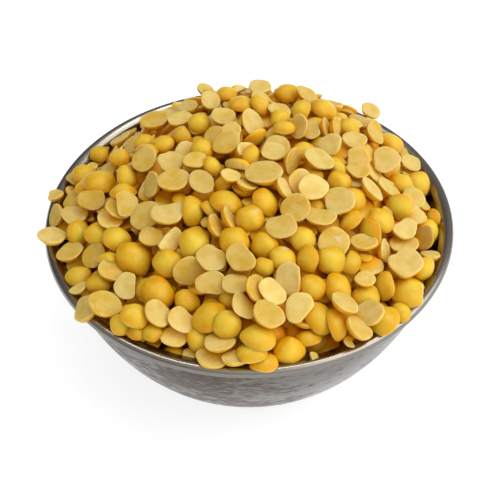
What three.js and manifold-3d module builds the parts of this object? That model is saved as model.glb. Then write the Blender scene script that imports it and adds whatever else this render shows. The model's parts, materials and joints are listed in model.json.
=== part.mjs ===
// A small steel bowl heaped with split pigeon peas (toor dal), in millimetres, +Z up.
// The origin is the centre of the bowl's flat foot. The bowl is a spun sheet with a rolled rim, and the peas
// are one heap: a core that fills the bowl, with the splits that lie on top fused to it.
import * as THREE from "three";
import { mergeVertices } from "three/addons/utils/BufferGeometryUtils.js";
import Module from "manifold-3d";

// Bowl
const RIM_R = 45; // outside of the rolled rim
const ROLL_R = 1.1; // radius of the roll itself
const ROLL_Z = 33.4; // height of the roll's centre above the foot
const WALL_R = 42.8; // outside of the wall where it meets the roll
const FOOT_R = 23.4; // edge of the flat foot
const WALL_POWER = 1.5; // the wall is a Lame curve of this power, level at the foot and upright at the rim
const SHEET = 0.9; // thickness of the steel
const BOWL_SIDES = 48;
const ROLL_FROM = -Math.PI * 0.5; // the roll goes from below its centre, out and over, to inside its top
const ROLL_TO = Math.PI * 0.62;
const ROLL_STEPS = 6;
const LIP_Z = ROLL_Z + ROLL_R * 0.4; // where the inner face of the wall meets the roll
const WALL_STEPS = 7; // the same for both faces and for the heap's side, so that they stay parallel

// Heap, as heights above the top of the rim
const DOME = 16; // rise of the heap from its edge to its middle
const DOME_POWER = 2.5; // 2 is a parabola, and more is flatter on top
const LEAN = { x: 0.1, y: 0.24 }; // how much fuller the heap is to the right and to the back
const EDGE_Z = -1.6; // where the heap meets the wall, on average
// Places along the edge where the heap lies higher or lower: direction and width in degrees
const EDGE_SPOTS = [
  { toward: -138, rise: -2.2, width: 26 },
  { toward: -88, rise: 1.6, width: 24 },
  { toward: 5, rise: -1.8, width: 26 },
  { toward: 50, rise: 3.6, width: 30 },
  { toward: 98, rise: 3.8, width: 25 },
  { toward: 172, rise: 2.8, width: 17 },
];
const GAP = 0.3; // between the peas and the steel
const CORE_DROP = 1.5; // the core lies this far below the heap's surface
const CORE_SIDES = 32;
const CORE_RINGS = 5; // in its top

// Splits: half peas, flat on one side and domed on the other
const SPLIT_R = 3.15; // mean radius
const SPLIT_T = 2.45; // mean thickness
const SPLIT_WIDTH = 0.93; // mean width as a share of the length
const SIZE_SPREAD = 0.16; // share by which a size lies above or below its mean
const WIDTH_SPREAD = 0.05;
const SPLIT_SIDES = 7;
const SPLIT_EDGE = 0.14; // height of the widest line, as a share of the thickness
const SPLIT_SHOULDER = { r: 0.72, z: 0.76 }; // the dome's ring, as shares of the radius and the thickness
const SPLITS = 188;
const CROWDING = 0.44; // half is as many everywhere, and less is more of them towards the edge
const WANDER = 0.03; // radians off the even spread
const BROKEN_SHARE = 0.16;
const BROKEN_SIZE = 0.82;
const BROKEN_WIDTH = 0.62;
const FLAT_UP_SHARE = 0.56;
const LEAST_TILT = 0.12; // radians from lying along the heap
const MOST_TILT = 0.95;
const PLAIN_TILT = 0.42; // a split that lies flat side up and flatter than this hides its dome
const FEW_STEEP = 1.4; // a power of the draw: over 1, so that more lie flat than stand
const UNEVEN = 1.8; // how far the splits' middles lie above and below each other
const NUDGE = 0.3; // one step of a split that is moved in or let down
const LEAST_HOLD = 1.5; // cubic millimetres of a split that sit in the core

// Splits that lie on the rim itself: direction in degrees, and reach of the middle from the axis
const OVERHANGS = [
  { toward: 174, reach: 43.4, size: 1.08 },
  { toward: 163, reach: 42.6, size: 0.8 },
];
// How they and their neighbours inside lie: lift above the rim as a share of the thickness, tilt in radians
const ON_RIM = { lift: 0.7, tilt: 0.16, flatUp: true };
const INSIDE_RIM = { lift: 0.4, tilt: 0.1, flatUp: false };
const NEIGHBOUR_STEP = 0.3; // further in than the overhanging split's radius, as a share of the mean radius

const RIM_TOP = ROLL_Z + ROLL_R;
const INNER_R = WALL_R - SHEET;
const SPREAD_R = INNER_R - SPLIT_R * 0.7; // the outermost split's middle
const GOLDEN_ANGLE = Math.PI * (3 - Math.sqrt(5));

const wasm = await Module();
wasm.setup();

// The same draw every time, from 0 to 1.
function drawer(seed) {
  let state = seed;
  return () => {
    state = (state + 0x6d2b79f5) | 0;
    let t = Math.imul(state ^ (state >>> 15), 1 | state);
    t = (t + Math.imul(t ^ (t >>> 7), 61 | t)) ^ t;
    return ((t ^ (t >>> 14)) >>> 0) / 4294967296;
  };
}

function solidOf(geometry) {
  const bare = geometry.clone();
  bare.deleteAttribute("normal");
  bare.deleteAttribute("uv");
  const merged = mergeVertices(bare, 1e-4);
  return new wasm.Manifold(
    new wasm.Mesh({
      numProp: 3,
      vertProperties: new Float32Array(merged.attributes.position.array),
      triVerts: new Uint32Array(merged.index.array),
    }),
  );
}

function geometryOf(solid) {
  const mesh = solid.getMesh();
  const geometry = new THREE.BufferGeometry();
  geometry.setAttribute("position", new THREE.BufferAttribute(mesh.vertProperties, 3));
  geometry.setIndex(new THREE.BufferAttribute(mesh.triVerts, 1));
  const faceted = geometry.toNonIndexed();
  faceted.computeVertexNormals();
  return faceted;
}

// A profile of (radius, height) points turned about +Z.
function turned(profile, sides) {
  return new THREE.LatheGeometry(profile, sides).rotateX(Math.PI / 2);
}

// The outside of the wall, from the edge of the foot (0) to where the roll begins (1).
class WallCurve extends THREE.Curve {
  getPoint(t, target = new THREE.Vector2()) {
    const turn = (1 - t) * Math.PI * 0.5;
    const out = Math.cos(turn) ** (2 / WALL_POWER);
    const down = Math.sin(turn) ** (2 / WALL_POWER);
    return target.set(FOOT_R + (WALL_R - FOOT_R) * out, ROLL_Z * (1 - down));
  }
}

const WALL = new WallCurve();

// A point at share t along the wall, moved inwards by depth at right angles to it.
function wallPoint(t, depth) {
  const p = WALL.getPoint(t);
  if (t < 0.001) return new THREE.Vector2(p.x, depth);
  if (t > 0.999) return new THREE.Vector2(p.x - depth, p.y);
  const along = WALL.getPoint(t + 0.001).sub(WALL.getPoint(t - 0.001)).normalize();
  return new THREE.Vector2(p.x - along.y * depth, p.y + along.x * depth);
}

// The wall's points from the foot to the rim at a depth below its outer face.
function wallLine(depth) {
  return Array.from({ length: WALL_STEPS + 1 }, (_, i) => wallPoint(i / WALL_STEPS, depth));
}

// The closed profile of the bowl, made fatter all round by grow.
function bowlProfile(grow) {
  const outside = wallLine(-grow);
  const inside = wallLine(SHEET + grow).reverse();
  const roll = [];
  for (let i = 0; i <= ROLL_STEPS; i++) {
    const a = THREE.MathUtils.mapLinear(i, 0, ROLL_STEPS, ROLL_FROM, ROLL_TO);
    roll.push(
      new THREE.Vector2(
        RIM_R - ROLL_R + (ROLL_R + grow) * Math.cos(a),
        ROLL_Z + (ROLL_R + grow) * Math.sin(a),
      ),
    );
  }
  outside.pop();
  const under = new THREE.Vector2(WALL_R + grow, ROLL_Z - ROLL_R - grow);
  inside[0].y = LIP_Z;
  return [
    new THREE.Vector2(0, -grow),
    ...outside,
    under,
    ...roll,
    ...inside,
    new THREE.Vector2(0, SHEET + grow),
  ];
}

function bowl() {
  return turned(bowlProfile(0), BOWL_SIDES);
}

// Height of the heap where it meets the wall, above the rim, in a direction in radians.
function edgeHeight(direction) {
  return EDGE_SPOTS.reduce((height, spot) => {
    const turn = THREE.MathUtils.degToRad(spot.toward) - direction;
    const off = Math.atan2(Math.sin(turn), Math.cos(turn)) / THREE.MathUtils.degToRad(spot.width);
    return height + spot.rise * Math.exp(-off * off);
  }, EDGE_Z);
}

// Height of the heap's surface above the foot.
function heapHeight(x, y) {
  const share = Math.min(1, Math.hypot(x, y) / INNER_R);
  const lean = 1 + (LEAN.x * x + LEAN.y * y) / INNER_R;
  return RIM_TOP + edgeHeight(Math.atan2(y, x)) * share ** 2 + DOME * (1 - share ** DOME_POWER) * lean;
}

function heapNormal(x, y) {
  const step = 0.5;
  const slopeX = (heapHeight(x + step, y) - heapHeight(x - step, y)) / (2 * step);
  const slopeY = (heapHeight(x, y + step) - heapHeight(x, y - step)) / (2 * step);
  return new THREE.Vector3(-slopeX, -slopeY, 1).normalize();
}

// Radius of a rising line of (radius, height) points at a height.
function radiusAt(line, height) {
  const above = line.findIndex((point) => point.y > height);
  if (above < 1) return line[line.length - 1].x;
  const [low, high] = [line[above - 1], line[above]];
  return THREE.MathUtils.mapLinear(height, low.y, high.y, low.x, high.x);
}

// The core: it fills the bowl to the wall, less the gap, and its top is the heap's surface less the drop.
function core() {
  const side = wallLine(SHEET + GAP);
  const shoulder = side[side.length - 1];
  shoulder.y = RIM_TOP;
  const top = [];
  for (let i = 1; i <= CORE_RINGS; i++) {
    top.push(new THREE.Vector2(shoulder.x * (1 - i / CORE_RINGS), RIM_TOP));
  }
  const geometry = turned([new THREE.Vector2(0, SHEET + GAP), ...side, ...top], CORE_SIDES);
  const at = geometry.attributes.position;
  for (let i = 0; i < at.count; i++) {
    if (at.getZ(i) < RIM_TOP - 0.01) continue;
    const direction = Math.atan2(at.getY(i), at.getX(i));
    const narrower = radiusAt(side, RIM_TOP + edgeHeight(direction) - CORE_DROP) / shoulder.x;
    const x = at.getX(i) * narrower;
    const y = at.getY(i) * narrower;
    at.setXYZ(i, x, y, heapHeight(x, y) - CORE_DROP);
  }
  return solidOf(geometry);
}

// A split of radius 1 and thickness 1, lying on its flat side. Its dome has one ring of points, or none.
function unitSplit(...ring) {
  const edge = new THREE.Vector2(1, SPLIT_EDGE);
  return turned([new THREE.Vector2(0, 0), edge, ...ring, new THREE.Vector2(0, 1)], SPLIT_SIDES);
}

const ROUND = unitSplit(new THREE.Vector2(SPLIT_SHOULDER.r, SPLIT_SHOULDER.z));
const PLAIN = unitSplit();

// A split at a place, its flat side turned to look along the normal or against it.
function placedSplit({ form, at, normal, tilt, tiltToward, turn, flatUp, radius, narrow, thick }) {
  const lean = new THREE.Quaternion().setFromAxisAngle(
    new THREE.Vector3(Math.cos(tiltToward), Math.sin(tiltToward), 0),
    tilt,
  );
  const stand = new THREE.Quaternion().setFromUnitVectors(new THREE.Vector3(0, 0, 1), normal);
  const spin = new THREE.Quaternion().setFromAxisAngle(new THREE.Vector3(0, 0, 1), turn);
  const flip = new THREE.Quaternion().setFromAxisAngle(new THREE.Vector3(1, 0, 0), flatUp ? Math.PI : 0);
  const facing = lean.multiply(stand).multiply(spin).multiply(flip);
  const middle = new THREE.Vector3(0, 0, -thick / 2).applyQuaternion(facing);
  const matrix = new THREE.Matrix4().compose(
    middle.add(at),
    facing,
    new THREE.Vector3(radius, radius * narrow, thick),
  );
  return solidOf(form.clone().applyMatrix4(matrix));
}

// A size drawn evenly about its mean.
function about(mean, spread, draw) {
  return mean * (1 + spread * (2 * draw() - 1));
}

// The splits on top: even all over by the golden angle, each with its own size, tilt and side up. One that
// would cross the steel is moved in, and one that would hang free of the core is let down, step by step.
function scatteredSplits(bareCore, steelRoom) {
  const draw = drawer(20);
  return Array.from({ length: SPLITS }, (_, i) => {
    const direction = i * GOLDEN_ANGLE + about(WANDER, 1, draw) - WANDER;
    const broken = draw() < BROKEN_SHARE;
    const flatUp = draw() < FLAT_UP_SHARE;
    const tilt = LEAST_TILT + (MOST_TILT - LEAST_TILT) * draw() ** FEW_STEEP;
    const lie = {
      form: flatUp && tilt < PLAIN_TILT ? PLAIN : ROUND,
      flatUp,
      tilt,
      tiltToward: 2 * Math.PI * draw(),
      turn: 2 * Math.PI * draw(),
      radius: about(SPLIT_R * (broken ? BROKEN_SIZE : 1), SIZE_SPREAD, draw),
      narrow: about(broken ? BROKEN_WIDTH : SPLIT_WIDTH, WIDTH_SPREAD, draw),
      thick: about(SPLIT_T, SIZE_SPREAD, draw),
    };
    let distance = SPREAD_R * ((i + 0.5) / SPLITS) ** CROWDING;
    let lift = UNEVEN * (draw() - 0.5);
    for (;;) {
      const x = distance * Math.cos(direction);
      const y = distance * Math.sin(direction);
      const at = new THREE.Vector3(x, y, heapHeight(x, y) + lift);
      const split = placedSplit({ ...lie, at, normal: heapNormal(x, y) });
      if (!split.intersect(steelRoom).isEmpty()) distance -= NUDGE;
      else if (split.intersect(bareCore).volume() < LEAST_HOLD) lift -= NUDGE;
      else return split;
    }
  });
}

// A split at the rim, in a direction in radians, that tilts up or down outwards.
function rimSplit({ direction, reach, lift, tilt, flatUp, radius }) {
  const out = new THREE.Vector3(Math.cos(direction), Math.sin(direction), 0);
  return placedSplit({
    form: ROUND,
    at: out.multiplyScalar(reach).setZ(RIM_TOP + SPLIT_T * lift),
    normal: new THREE.Vector3(0, 0, 1),
    tilt,
    tiltToward: direction + Math.PI / 2,
    turn: 0,
    flatUp,
    radius,
    narrow: SPLIT_WIDTH,
    thick: SPLIT_T,
  });
}

// The splits that lie across the rim, each with a neighbour inside that it leans on.
function overhangingSplits() {
  return OVERHANGS.flatMap(({ toward, reach, size }) => {
    const direction = THREE.MathUtils.degToRad(toward);
    const inside = reach - SPLIT_R * (size + NEIGHBOUR_STEP);
    return [
      rimSplit({ ...ON_RIM, direction, reach, radius: SPLIT_R * size }),
      rimSplit({ ...INSIDE_RIM, direction, reach: inside, radius: SPLIT_R }),
    ];
  });
}

function heap() {
  const steelRoom = solidOf(turned(bowlProfile(GAP), BOWL_SIDES));
  const bareCore = core();
  const splits = [...scatteredSplits(bareCore, steelRoom), ...overhangingSplits()];
  const pieces = wasm.Manifold.union([bareCore, ...splits]).decompose();
  const [largest] = pieces.sort((a, b) => b.volume() - a.volume());
  return geometryOf(largest);
}

const steel = new THREE.MeshStandardMaterial({ color: 0xa9a6a2, roughness: 0.32, metalness: 1 });
const peas = new THREE.MeshStandardMaterial({ color: 0xe0ae3c, roughness: 0.55, metalness: 0 });

function named(name, geometry, material) {
  const mesh = new THREE.Mesh(geometry, material);
  mesh.name = name;
  return mesh;
}

const dish = new THREE.Group();
dish.add(named("bowl", bowl(), steel));
dish.add(named("heap", heap(), peas));

export default dish;
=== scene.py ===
"""Looks of a small steel bowl heaped with dry split peas (toor dal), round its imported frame.

The bowl is spun from sheet steel and rolled over at the rim. The heap is a smooth core, a bed of splits
partly sunk in it, and loose splits laid one by one. The loose ones settle as rigid bodies round those that
stand out, which are held still, and the gaps that are left are filled. Lengths are in metres, +Z is up, and
the camera looks along +Y and down.
"""

import json
import logging
import math
from dataclasses import dataclass, field, replace
from enum import Enum

import bpy
import numpy as np
from mathutils import Matrix, Quaternion, Vector

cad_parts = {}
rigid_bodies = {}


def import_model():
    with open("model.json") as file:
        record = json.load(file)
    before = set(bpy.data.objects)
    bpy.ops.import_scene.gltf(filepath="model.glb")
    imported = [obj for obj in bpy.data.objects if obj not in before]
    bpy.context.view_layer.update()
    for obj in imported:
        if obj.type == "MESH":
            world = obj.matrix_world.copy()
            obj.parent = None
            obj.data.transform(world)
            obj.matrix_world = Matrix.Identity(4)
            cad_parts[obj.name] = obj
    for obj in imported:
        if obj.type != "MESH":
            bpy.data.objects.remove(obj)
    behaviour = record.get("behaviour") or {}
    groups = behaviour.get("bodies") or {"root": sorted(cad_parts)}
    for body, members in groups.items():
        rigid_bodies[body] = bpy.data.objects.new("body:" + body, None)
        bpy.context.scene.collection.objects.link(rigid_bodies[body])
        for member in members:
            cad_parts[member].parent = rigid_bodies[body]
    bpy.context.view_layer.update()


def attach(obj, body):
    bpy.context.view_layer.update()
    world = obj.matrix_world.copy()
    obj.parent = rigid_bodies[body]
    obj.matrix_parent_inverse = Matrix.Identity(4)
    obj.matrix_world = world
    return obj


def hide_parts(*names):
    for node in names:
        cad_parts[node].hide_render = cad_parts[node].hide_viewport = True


MM = 0.001
PICTURE = 500  # pixels along each side of the picture
GOLDEN_ANGLE = math.pi * (3 - math.sqrt(5))
GRAIN_STEP = np.array([0.0131, 0.0071, 0.0037])  # from one split's place in the patterns to the next one's

log = logging.getLogger("dish")

Tree = bpy.types.NodeTree
Socket = bpy.types.NodeSocket


# ---------------------------------------------------------------- colours and nodes


def linear(code: str) -> tuple[float, float, float, float]:
    """Turns an sRGB hex colour into a linear one.

    Args:
        code: the colour as "#rrggbb".

    Returns:
        Linear red, green and blue, with an alpha of 1.
    """
    shares = [int(code[i : i + 2], 16) / 255 for i in (1, 3, 5)]
    red, green, blue = (s / 12.92 if s <= 0.04045 else ((s + 0.055) / 1.055) ** 2.4 for s in shares)
    return red, green, blue, 1.0


def add_node(
    tree: Tree, kind: str, inputs: dict[str | int, object] | None = None, **settings: object
) -> bpy.types.Node:
    """Adds a node, with its settings, and fills or links its inputs.

    Args:
        tree: the node tree that gets the node.
        kind: the node's type, such as "ShaderNodeMath".
        inputs: for each input's name or number, a value or the output that feeds it.
        settings: the node's own settings.

    Returns:
        The new node.
    """
    node = tree.nodes.new(kind)
    for name, value in settings.items():
        setattr(node, name, value)
    for name, value in (inputs or {}).items():
        if isinstance(value, Socket):
            tree.links.new(value, node.inputs[name])
        else:
            node.inputs[name].default_value = value
    return node


def new_material(name: str) -> tuple[bpy.types.Material, Tree, bpy.types.Node]:
    """Makes an empty node material.

    Args:
        name: the material's name.

    Returns:
        The material, its node tree and its Principled shader.
    """
    material = bpy.data.materials.new(name)
    material.use_nodes = True
    tree = material.node_tree
    tree.nodes.clear()
    shader = add_node(tree, "ShaderNodeBsdfPrincipled")
    add_node(tree, "ShaderNodeOutputMaterial", {"Surface": shader.outputs["BSDF"]})
    return material, tree, shader


def mixed(tree: Tree, share: object, low: object, high: object) -> Socket:
    """Mixes two colours.

    Args:
        tree: the node tree.
        share: how much of the second colour, as a number or an output.
        low: the first colour, as a value or an output.
        high: the second colour.

    Returns:
        The mixed colour's output.
    """
    node = add_node(tree, "ShaderNodeMix", {0: share, 6: low, 7: high}, data_type="RGBA")
    return node.outputs[2]


def ranged(
    tree: Tree, value: object, source: tuple[float, float], target: tuple[float, float] = (0, 1)
) -> Socket:
    """Maps a value smoothly from one range to another and holds it there.

    Args:
        tree: the node tree.
        value: the output that is mapped.
        source: where the range starts and ends.
        target: what those two ends become.

    Returns:
        The mapped value's output.
    """
    inputs = {"Value": value, 1: source[0], 2: source[1], 3: target[0], 4: target[1]}
    return add_node(tree, "ShaderNodeMapRange", inputs, interpolation_type="SMOOTHSTEP").outputs[0]


def computed(tree: Tree, operation: str, *values: object) -> Socket:
    """Does one sum with numbers or outputs.

    Args:
        tree: the node tree.
        operation: the sum, such as "MULTIPLY".
        values: what goes in.

    Returns:
        The result's output.
    """
    return add_node(tree, "ShaderNodeMath", dict(enumerate(values)), operation=operation).outputs[0]


# ---------------------------------------------------------------- finishes


@dataclass(frozen=True)
class SplitPeaFinish:
    """Dry split pigeon pea, hulled and oiled in the mill.

    The outside is a smooth golden skin with a satin sheen, painted deeper towards the split face as shade.
    The split face is matt and mealy, the colour of straw, and paler along its edge, partly worn and partly a
    painted highlight. Light goes a little way in, so that shadows turn warm, and the deeper a split lies in
    the heap, the warmer and darker it is painted, as shade. Scraps of pale husk stay on a few.
    """

    skin: str = "#e6c940"
    # a deeper golden that some splits have, also laid along the split's edge as painted shade
    skin_deep_and_edge_shade: str = "#dea10c"
    face: str = "#e2c97c"
    face_deep: str = "#d3aa3c"
    # paler rim of the split face: partly worn, partly a painted highlight
    face_edge_and_highlight: str = "#ead389"
    crack: str = "#a97c30"
    husk: str = "#dcc6a6"
    # painted shade: a warm colour for splits lying a little below their neighbours, and a deep orange for the
    # gaps further down
    painted_amber_shade: str = "#efb00c"
    gap: str = "#e29606"
    skin_roughness: float = 0.32
    face_roughness: float = 0.62
    mottle: float = 2.4 * MM  # size of the skin's deeper patches
    meal: float = 0.22 * MM  # grain of the split face, drawn coarser than the real one so that it shows
    painted_edge_shade: float = 0.6  # how much of the deeper colour the skin has along the split's edge, as painted shade
    warm_skin: float = 0.4  # how much of the deeper colour the skin of the warmest split has
    warm_face: float = 0.65  # the same for the split face
    crack_spacing: float = 5 * MM
    husk_size: float = 2.2 * MM
    glow_depth: float = 1.9 * MM
    glow: float = 0.55
    glow_reach: tuple[float, float, float] = (1.0, 0.55, 0.14)  # of red, green and blue, as shares of it
    specular: float = 0.22
    shades: tuple[float, float] = (0.84, 1.12)  # brightness of the darkest and the lightest split
    painted_amber_shade_depths: tuple[float, float] = (0.06, 0.66)  # where the painted warm shade begins and is full, 1 being the deepest
    painted_gap_shade_depths: tuple[float, float] = (0.6, 1.1)  # the same for the darker painted shade of the gaps, which is never quite full
    most_painted_shade: float = 0.9
    cracked_from: float = 0.9  # draw of warmth above which a split is cracked

    def material(self) -> bpy.types.Material:
        """Makes the material, which reads each split's own attributes.

        Returns:
            The material for all splits.
        """
        material, tree, shader = new_material("split_pea_milled")
        zone = add_node(tree, "ShaderNodeAttribute", attribute_name="zone").outputs["Vector"]
        # side is 1 on the split face; edge rises near the split's edge, for its pale rim and the painted edge
        # shade; deep is how far a point lies below the heap's top, for the painted shade
        side, edge, deep = add_node(tree, "ShaderNodeSeparateXYZ", {0: zone}).outputs
        grain = add_node(tree, "ShaderNodeAttribute", attribute_name="grain").outputs["Vector"]
        draw = add_node(tree, "ShaderNodeAttribute", attribute_name="draw").outputs["Vector"]
        shade, warmth, husk = add_node(tree, "ShaderNodeSeparateXYZ", {0: draw}).outputs

        patches = self._noise(tree, grain, self.mottle, 3.0)
        mottled = ranged(tree, patches, (0.4, 0.68), (0, 0.3))
        skin_share = computed(tree, "MULTIPLY_ADD", warmth, self.warm_skin, mottled)
        # painted shade: the skin turns deeper towards the split face
        skin_share = computed(tree, "MULTIPLY_ADD", edge, self.painted_edge_shade, skin_share)
        skin = mixed(tree, skin_share, linear(self.skin), linear(self.skin_deep_and_edge_shade))
        deeper = ranged(tree, patches, (0.35, 0.7), (0, 0.5))
        face_share = computed(tree, "MULTIPLY_ADD", warmth, self.warm_face, deeper)
        face = mixed(tree, face_share, linear(self.face), linear(self.face_deep))
        # the split face is paler along its edge: partly worn, partly a painted highlight
        worn = ranged(tree, self._noise(tree, grain, self.husk_size, 2.0), (0.38, 0.62), (0.08, 0.55))
        face = mixed(tree, computed(tree, "MULTIPLY", edge, worn), face, linear(self.face_edge_and_highlight))
        face = mixed(tree, self._cracks(tree, grain, warmth), face, linear(self.crack))
        colour = mixed(tree, side, skin, face)

        scraps = self._noise(tree, grain, self.husk_size, 2.0)
        husk_here = ranged(tree, computed(tree, "ADD", scraps, husk), (1.04, 1.14), (0, 0.7))
        colour = mixed(tree, husk_here, colour, linear(self.husk))
        # painted shade: the deeper a point lies below the splits round about, the warmer and then darker
        # orange it turns
        for depths, shade_colour in ((self.painted_amber_shade_depths, self.painted_amber_shade), (self.painted_gap_shade_depths, self.gap)):
            shade_share = ranged(tree, deep, depths, (0, self.most_painted_shade))
            colour = mixed(tree, shade_share, colour, linear(shade_colour))
        value = ranged(tree, shade, (0, 1), self.shades)
        tint = add_node(tree, "ShaderNodeHueSaturation", {"Value": value, "Color": colour})
        tree.links.new(tint.outputs["Color"], shader.inputs["Base Color"])
        rough = ranged(tree, side, (0, 1), (self.skin_roughness, self.face_roughness))
        tree.links.new(rough, shader.inputs["Roughness"])
        self._relief(tree, grain, side, shader)
        shader.inputs["Specular IOR Level"].default_value = self.specular
        shader.inputs["Subsurface Weight"].default_value = self.glow
        shader.inputs["Subsurface Radius"].default_value = self.glow_reach
        shader.inputs["Subsurface Scale"].default_value = self.glow_depth
        return material

    @staticmethod
    def _noise(tree: Tree, place: Socket, size: float, detail: float) -> Socket:
        """Noise whose patches have a real size.

        Args:
            tree: the node tree.
            place: the place on the split, in metres.
            size: the size of a patch.
            detail: how much finer noise is added.

        Returns:
            The noise's output.
        """
        inputs = {"Vector": place, "Scale": 1 / size, "Detail": detail}
        return add_node(tree, "ShaderNodeTexNoise", inputs).outputs["Fac"]

    def _cracks(self, tree: Tree, place: Socket, pick: Socket) -> Socket:
        """A long hairline crack or two on the split face of some splits.

        Args:
            tree: the node tree.
            place: the place on the split.
            pick: the split's own draw, which decides whether it is cracked.

        Returns:
            The output that says how much crack there is.
        """
        noise = self._noise(tree, place, self.crack_spacing, 1.5)
        off = computed(tree, "ABSOLUTE", computed(tree, "SUBTRACT", noise, 0.5))
        line = ranged(tree, off, (0.0, 0.016), (0.35, 0))
        cracked = ranged(tree, pick, (self.cracked_from, self.cracked_from + 0.03))
        return computed(tree, "MULTIPLY", line, cracked)

    def _relief(self, tree: Tree, place: Socket, side: Socket, shader: bpy.types.Node) -> None:
        """Gives the skin faint dimples and the split face a mealy grain.

        Args:
            tree: the node tree.
            place: the place on the split.
            side: 1 on the split face and 0 on the skin.
            shader: the shader that gets the relief.
        """
        grain = self._noise(tree, place, self.meal, 2.0)
        dimples = self._noise(tree, place, self.mottle * 0.35, 1.0)
        strength = ranged(tree, side, (0, 1), (0.05, 0.3))
        inputs = {"Height": grain, "Strength": strength, "Distance": 0.05 * MM}
        fine = add_node(tree, "ShaderNodeBump", inputs)
        inputs = {"Height": dimples, "Strength": 0.5, "Distance": 0.12 * MM, "Normal": fine.outputs["Normal"]}
        coarse = add_node(tree, "ShaderNodeBump", inputs)
        tree.links.new(coarse.outputs["Normal"], shader.inputs["Normal"])


@dataclass(frozen=True)
class CoreFinish:
    """The splits deep in the heap: the same pulses, seen only as warm dark gaps, painted dark as shade."""

    # painted shade: both colours are darker and warmer than the splits' own
    colour: str = "#b86a0a"
    deep: str = "#96560a"
    patch: float = 3 * MM
    roughness: float = 0.8

    def material(self) -> bpy.types.Material:
        """Makes the material.

        Returns:
            The material for the heap's core.
        """
        material, tree, shader = new_material("split_pea_deep_painted_shade")
        place = add_node(tree, "ShaderNodeTexCoord").outputs["Object"]
        inputs = {"Vector": place, "Scale": 1 / self.patch}
        noise = add_node(tree, "ShaderNodeTexNoise", inputs).outputs["Fac"]
        colour = mixed(tree, noise, linear(self.colour), linear(self.deep))
        tree.links.new(colour, shader.inputs["Base Color"])
        shader.inputs["Roughness"].default_value = self.roughness
        return material


@dataclass(frozen=True)
class SpunSteelFinish:
    """Stainless steel, spun on a lathe, left with its turning lines, and dulled and smeared with dried water.

    The turning lines and smears run round the bowl. The smears are duller, darker and a little brown, with
    mottled edges, and here and there a pale streak of dried water. The steel is painted darker than bare
    steel, as shade from dim surroundings in its reflections. The roll and the inside are lighter, where
    wiping keeps them bright, and a little warm as a painted reflection of the heap.
    """

    # painted shade: darker than bare steel, as if it reflected dim surroundings
    steel: str = "#73706c"
    smear: str = "#574a41"
    water: str = "#7a7672"
    # lighter steel of the roll and the inside, where wiping keeps it bright, a little warm as a painted
    # reflection of the heap
    bright: str = "#9d968b"
    roughness: float = 0.24
    smear_roughness: float = 0.42
    line_spacing: float = 0.5 * MM  # coarser than the real turning lines, so that they show
    smear_height: float = 4.5 * MM
    smear_length: float = 11 * MM
    mottle: float = 0.8 * MM
    worn_up_to: float = 31.5 * MM  # the rim above is wiped and stays brighter
    worn_at: float = -12 * MM  # place along +X round which the front is stained most
    worn_reach: float = 36 * MM
    worn_front: tuple[float, float] = (-30 * MM, -20 * MM)  # places along +Y where that is full and ends
    worn_more: float = 0.26
    line_length: float = 60 * MM
    smeared: tuple[float, float] = (0.46, 0.9)  # unevenness at which smears begin and are full

    def material(self) -> bpy.types.Material:
        """Makes the material.

        Returns:
            The material for the bowl.
        """
        material, tree, shader = new_material("stainless_steel_spun")
        place = add_node(tree, "ShaderNodeTexCoord").outputs["Object"]
        smears = self._streaks(tree, place, self.smear_length, self.smear_height, 4.0)
        mottle = self._streaks(tree, place, self.mottle * 2.4, self.mottle * 0.8, 8.0)
        water = self._streaks(tree, place, self.mottle * 5, self.mottle * 0.6, 4.0)
        lines = self._streaks(tree, place, self.line_length, self.line_spacing, 2.0)
        uneven = computed(tree, "ADD", smears, ranged(tree, mottle, (0.3, 0.7), (-0.2, 0.2)))
        along, back, height = add_node(tree, "ShaderNodeSeparateXYZ", {0: place}).outputs
        front = ranged(tree, back, self.worn_front, (1, 0))
        worn = computed(tree, "MULTIPLY", front, self._near(tree, along, self.worn_at, self.worn_reach))
        uneven = computed(tree, "MULTIPLY_ADD", worn, self.worn_more, uneven)
        below_rim = ranged(tree, height, (self.worn_up_to, self.worn_up_to + MM), (1, 0.2))
        amount = computed(tree, "MULTIPLY", ranged(tree, uneven, self.smeared), below_rim)
        colour = mixed(tree, amount, linear(self.steel), linear(self.smear))
        colour = mixed(tree, ranged(tree, water, (0.55, 0.8), (0, 0.5)), colour, linear(self.water))
        # the roll and the inside get the lighter colour: wiped bright, and warmed as a painted reflection of
        # the heap
        polish = add_node(tree, "ShaderNodeAttribute", attribute_name="polish").outputs["Fac"]
        colour = mixed(tree, polish, colour, linear(self.bright))
        tree.links.new(colour, shader.inputs["Base Color"])
        dulled = ranged(tree, amount, (0, 1), (self.roughness, self.smear_roughness))
        rough = computed(tree, "ADD", dulled, ranged(tree, lines, (0.3, 0.7), (-0.03, 0.03)))
        tree.links.new(rough, shader.inputs["Roughness"])
        bump = add_node(tree, "ShaderNodeBump", {"Height": lines, "Strength": 0.12, "Distance": 0.05 * MM})
        tree.links.new(bump.outputs["Normal"], shader.inputs["Normal"])
        shader.inputs["Metallic"].default_value = 1.0
        return material

    @staticmethod
    def _near(tree: Tree, at: Socket, middle: float, reach: float) -> Socket:
        """1 at a place, going down smoothly to 0 at a distance from it."""
        off = computed(tree, "ABSOLUTE", computed(tree, "SUBTRACT", at, middle))
        return ranged(tree, off, (0, reach), (1, 0))

    @staticmethod
    def _streaks(tree: Tree, place: Socket, along: float, across: float, detail: float) -> Socket:
        """Noise drawn out round the bowl.

        Args:
            tree: the node tree.
            place: the place in the row's frame.
            along: length of a streak.
            across: height of a streak.
            detail: how much finer noise is added.

        Returns:
            The noise's output.
        """
        inputs = {"Vector": place, "Scale": (1 / along, 1 / along, 1 / across)}
        stretched = add_node(tree, "ShaderNodeMapping", inputs).outputs["Vector"]
        noise = add_node(tree, "ShaderNodeTexNoise", {"Vector": stretched, "Scale": 1.0, "Detail": detail})
        return noise.outputs["Fac"]


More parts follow.
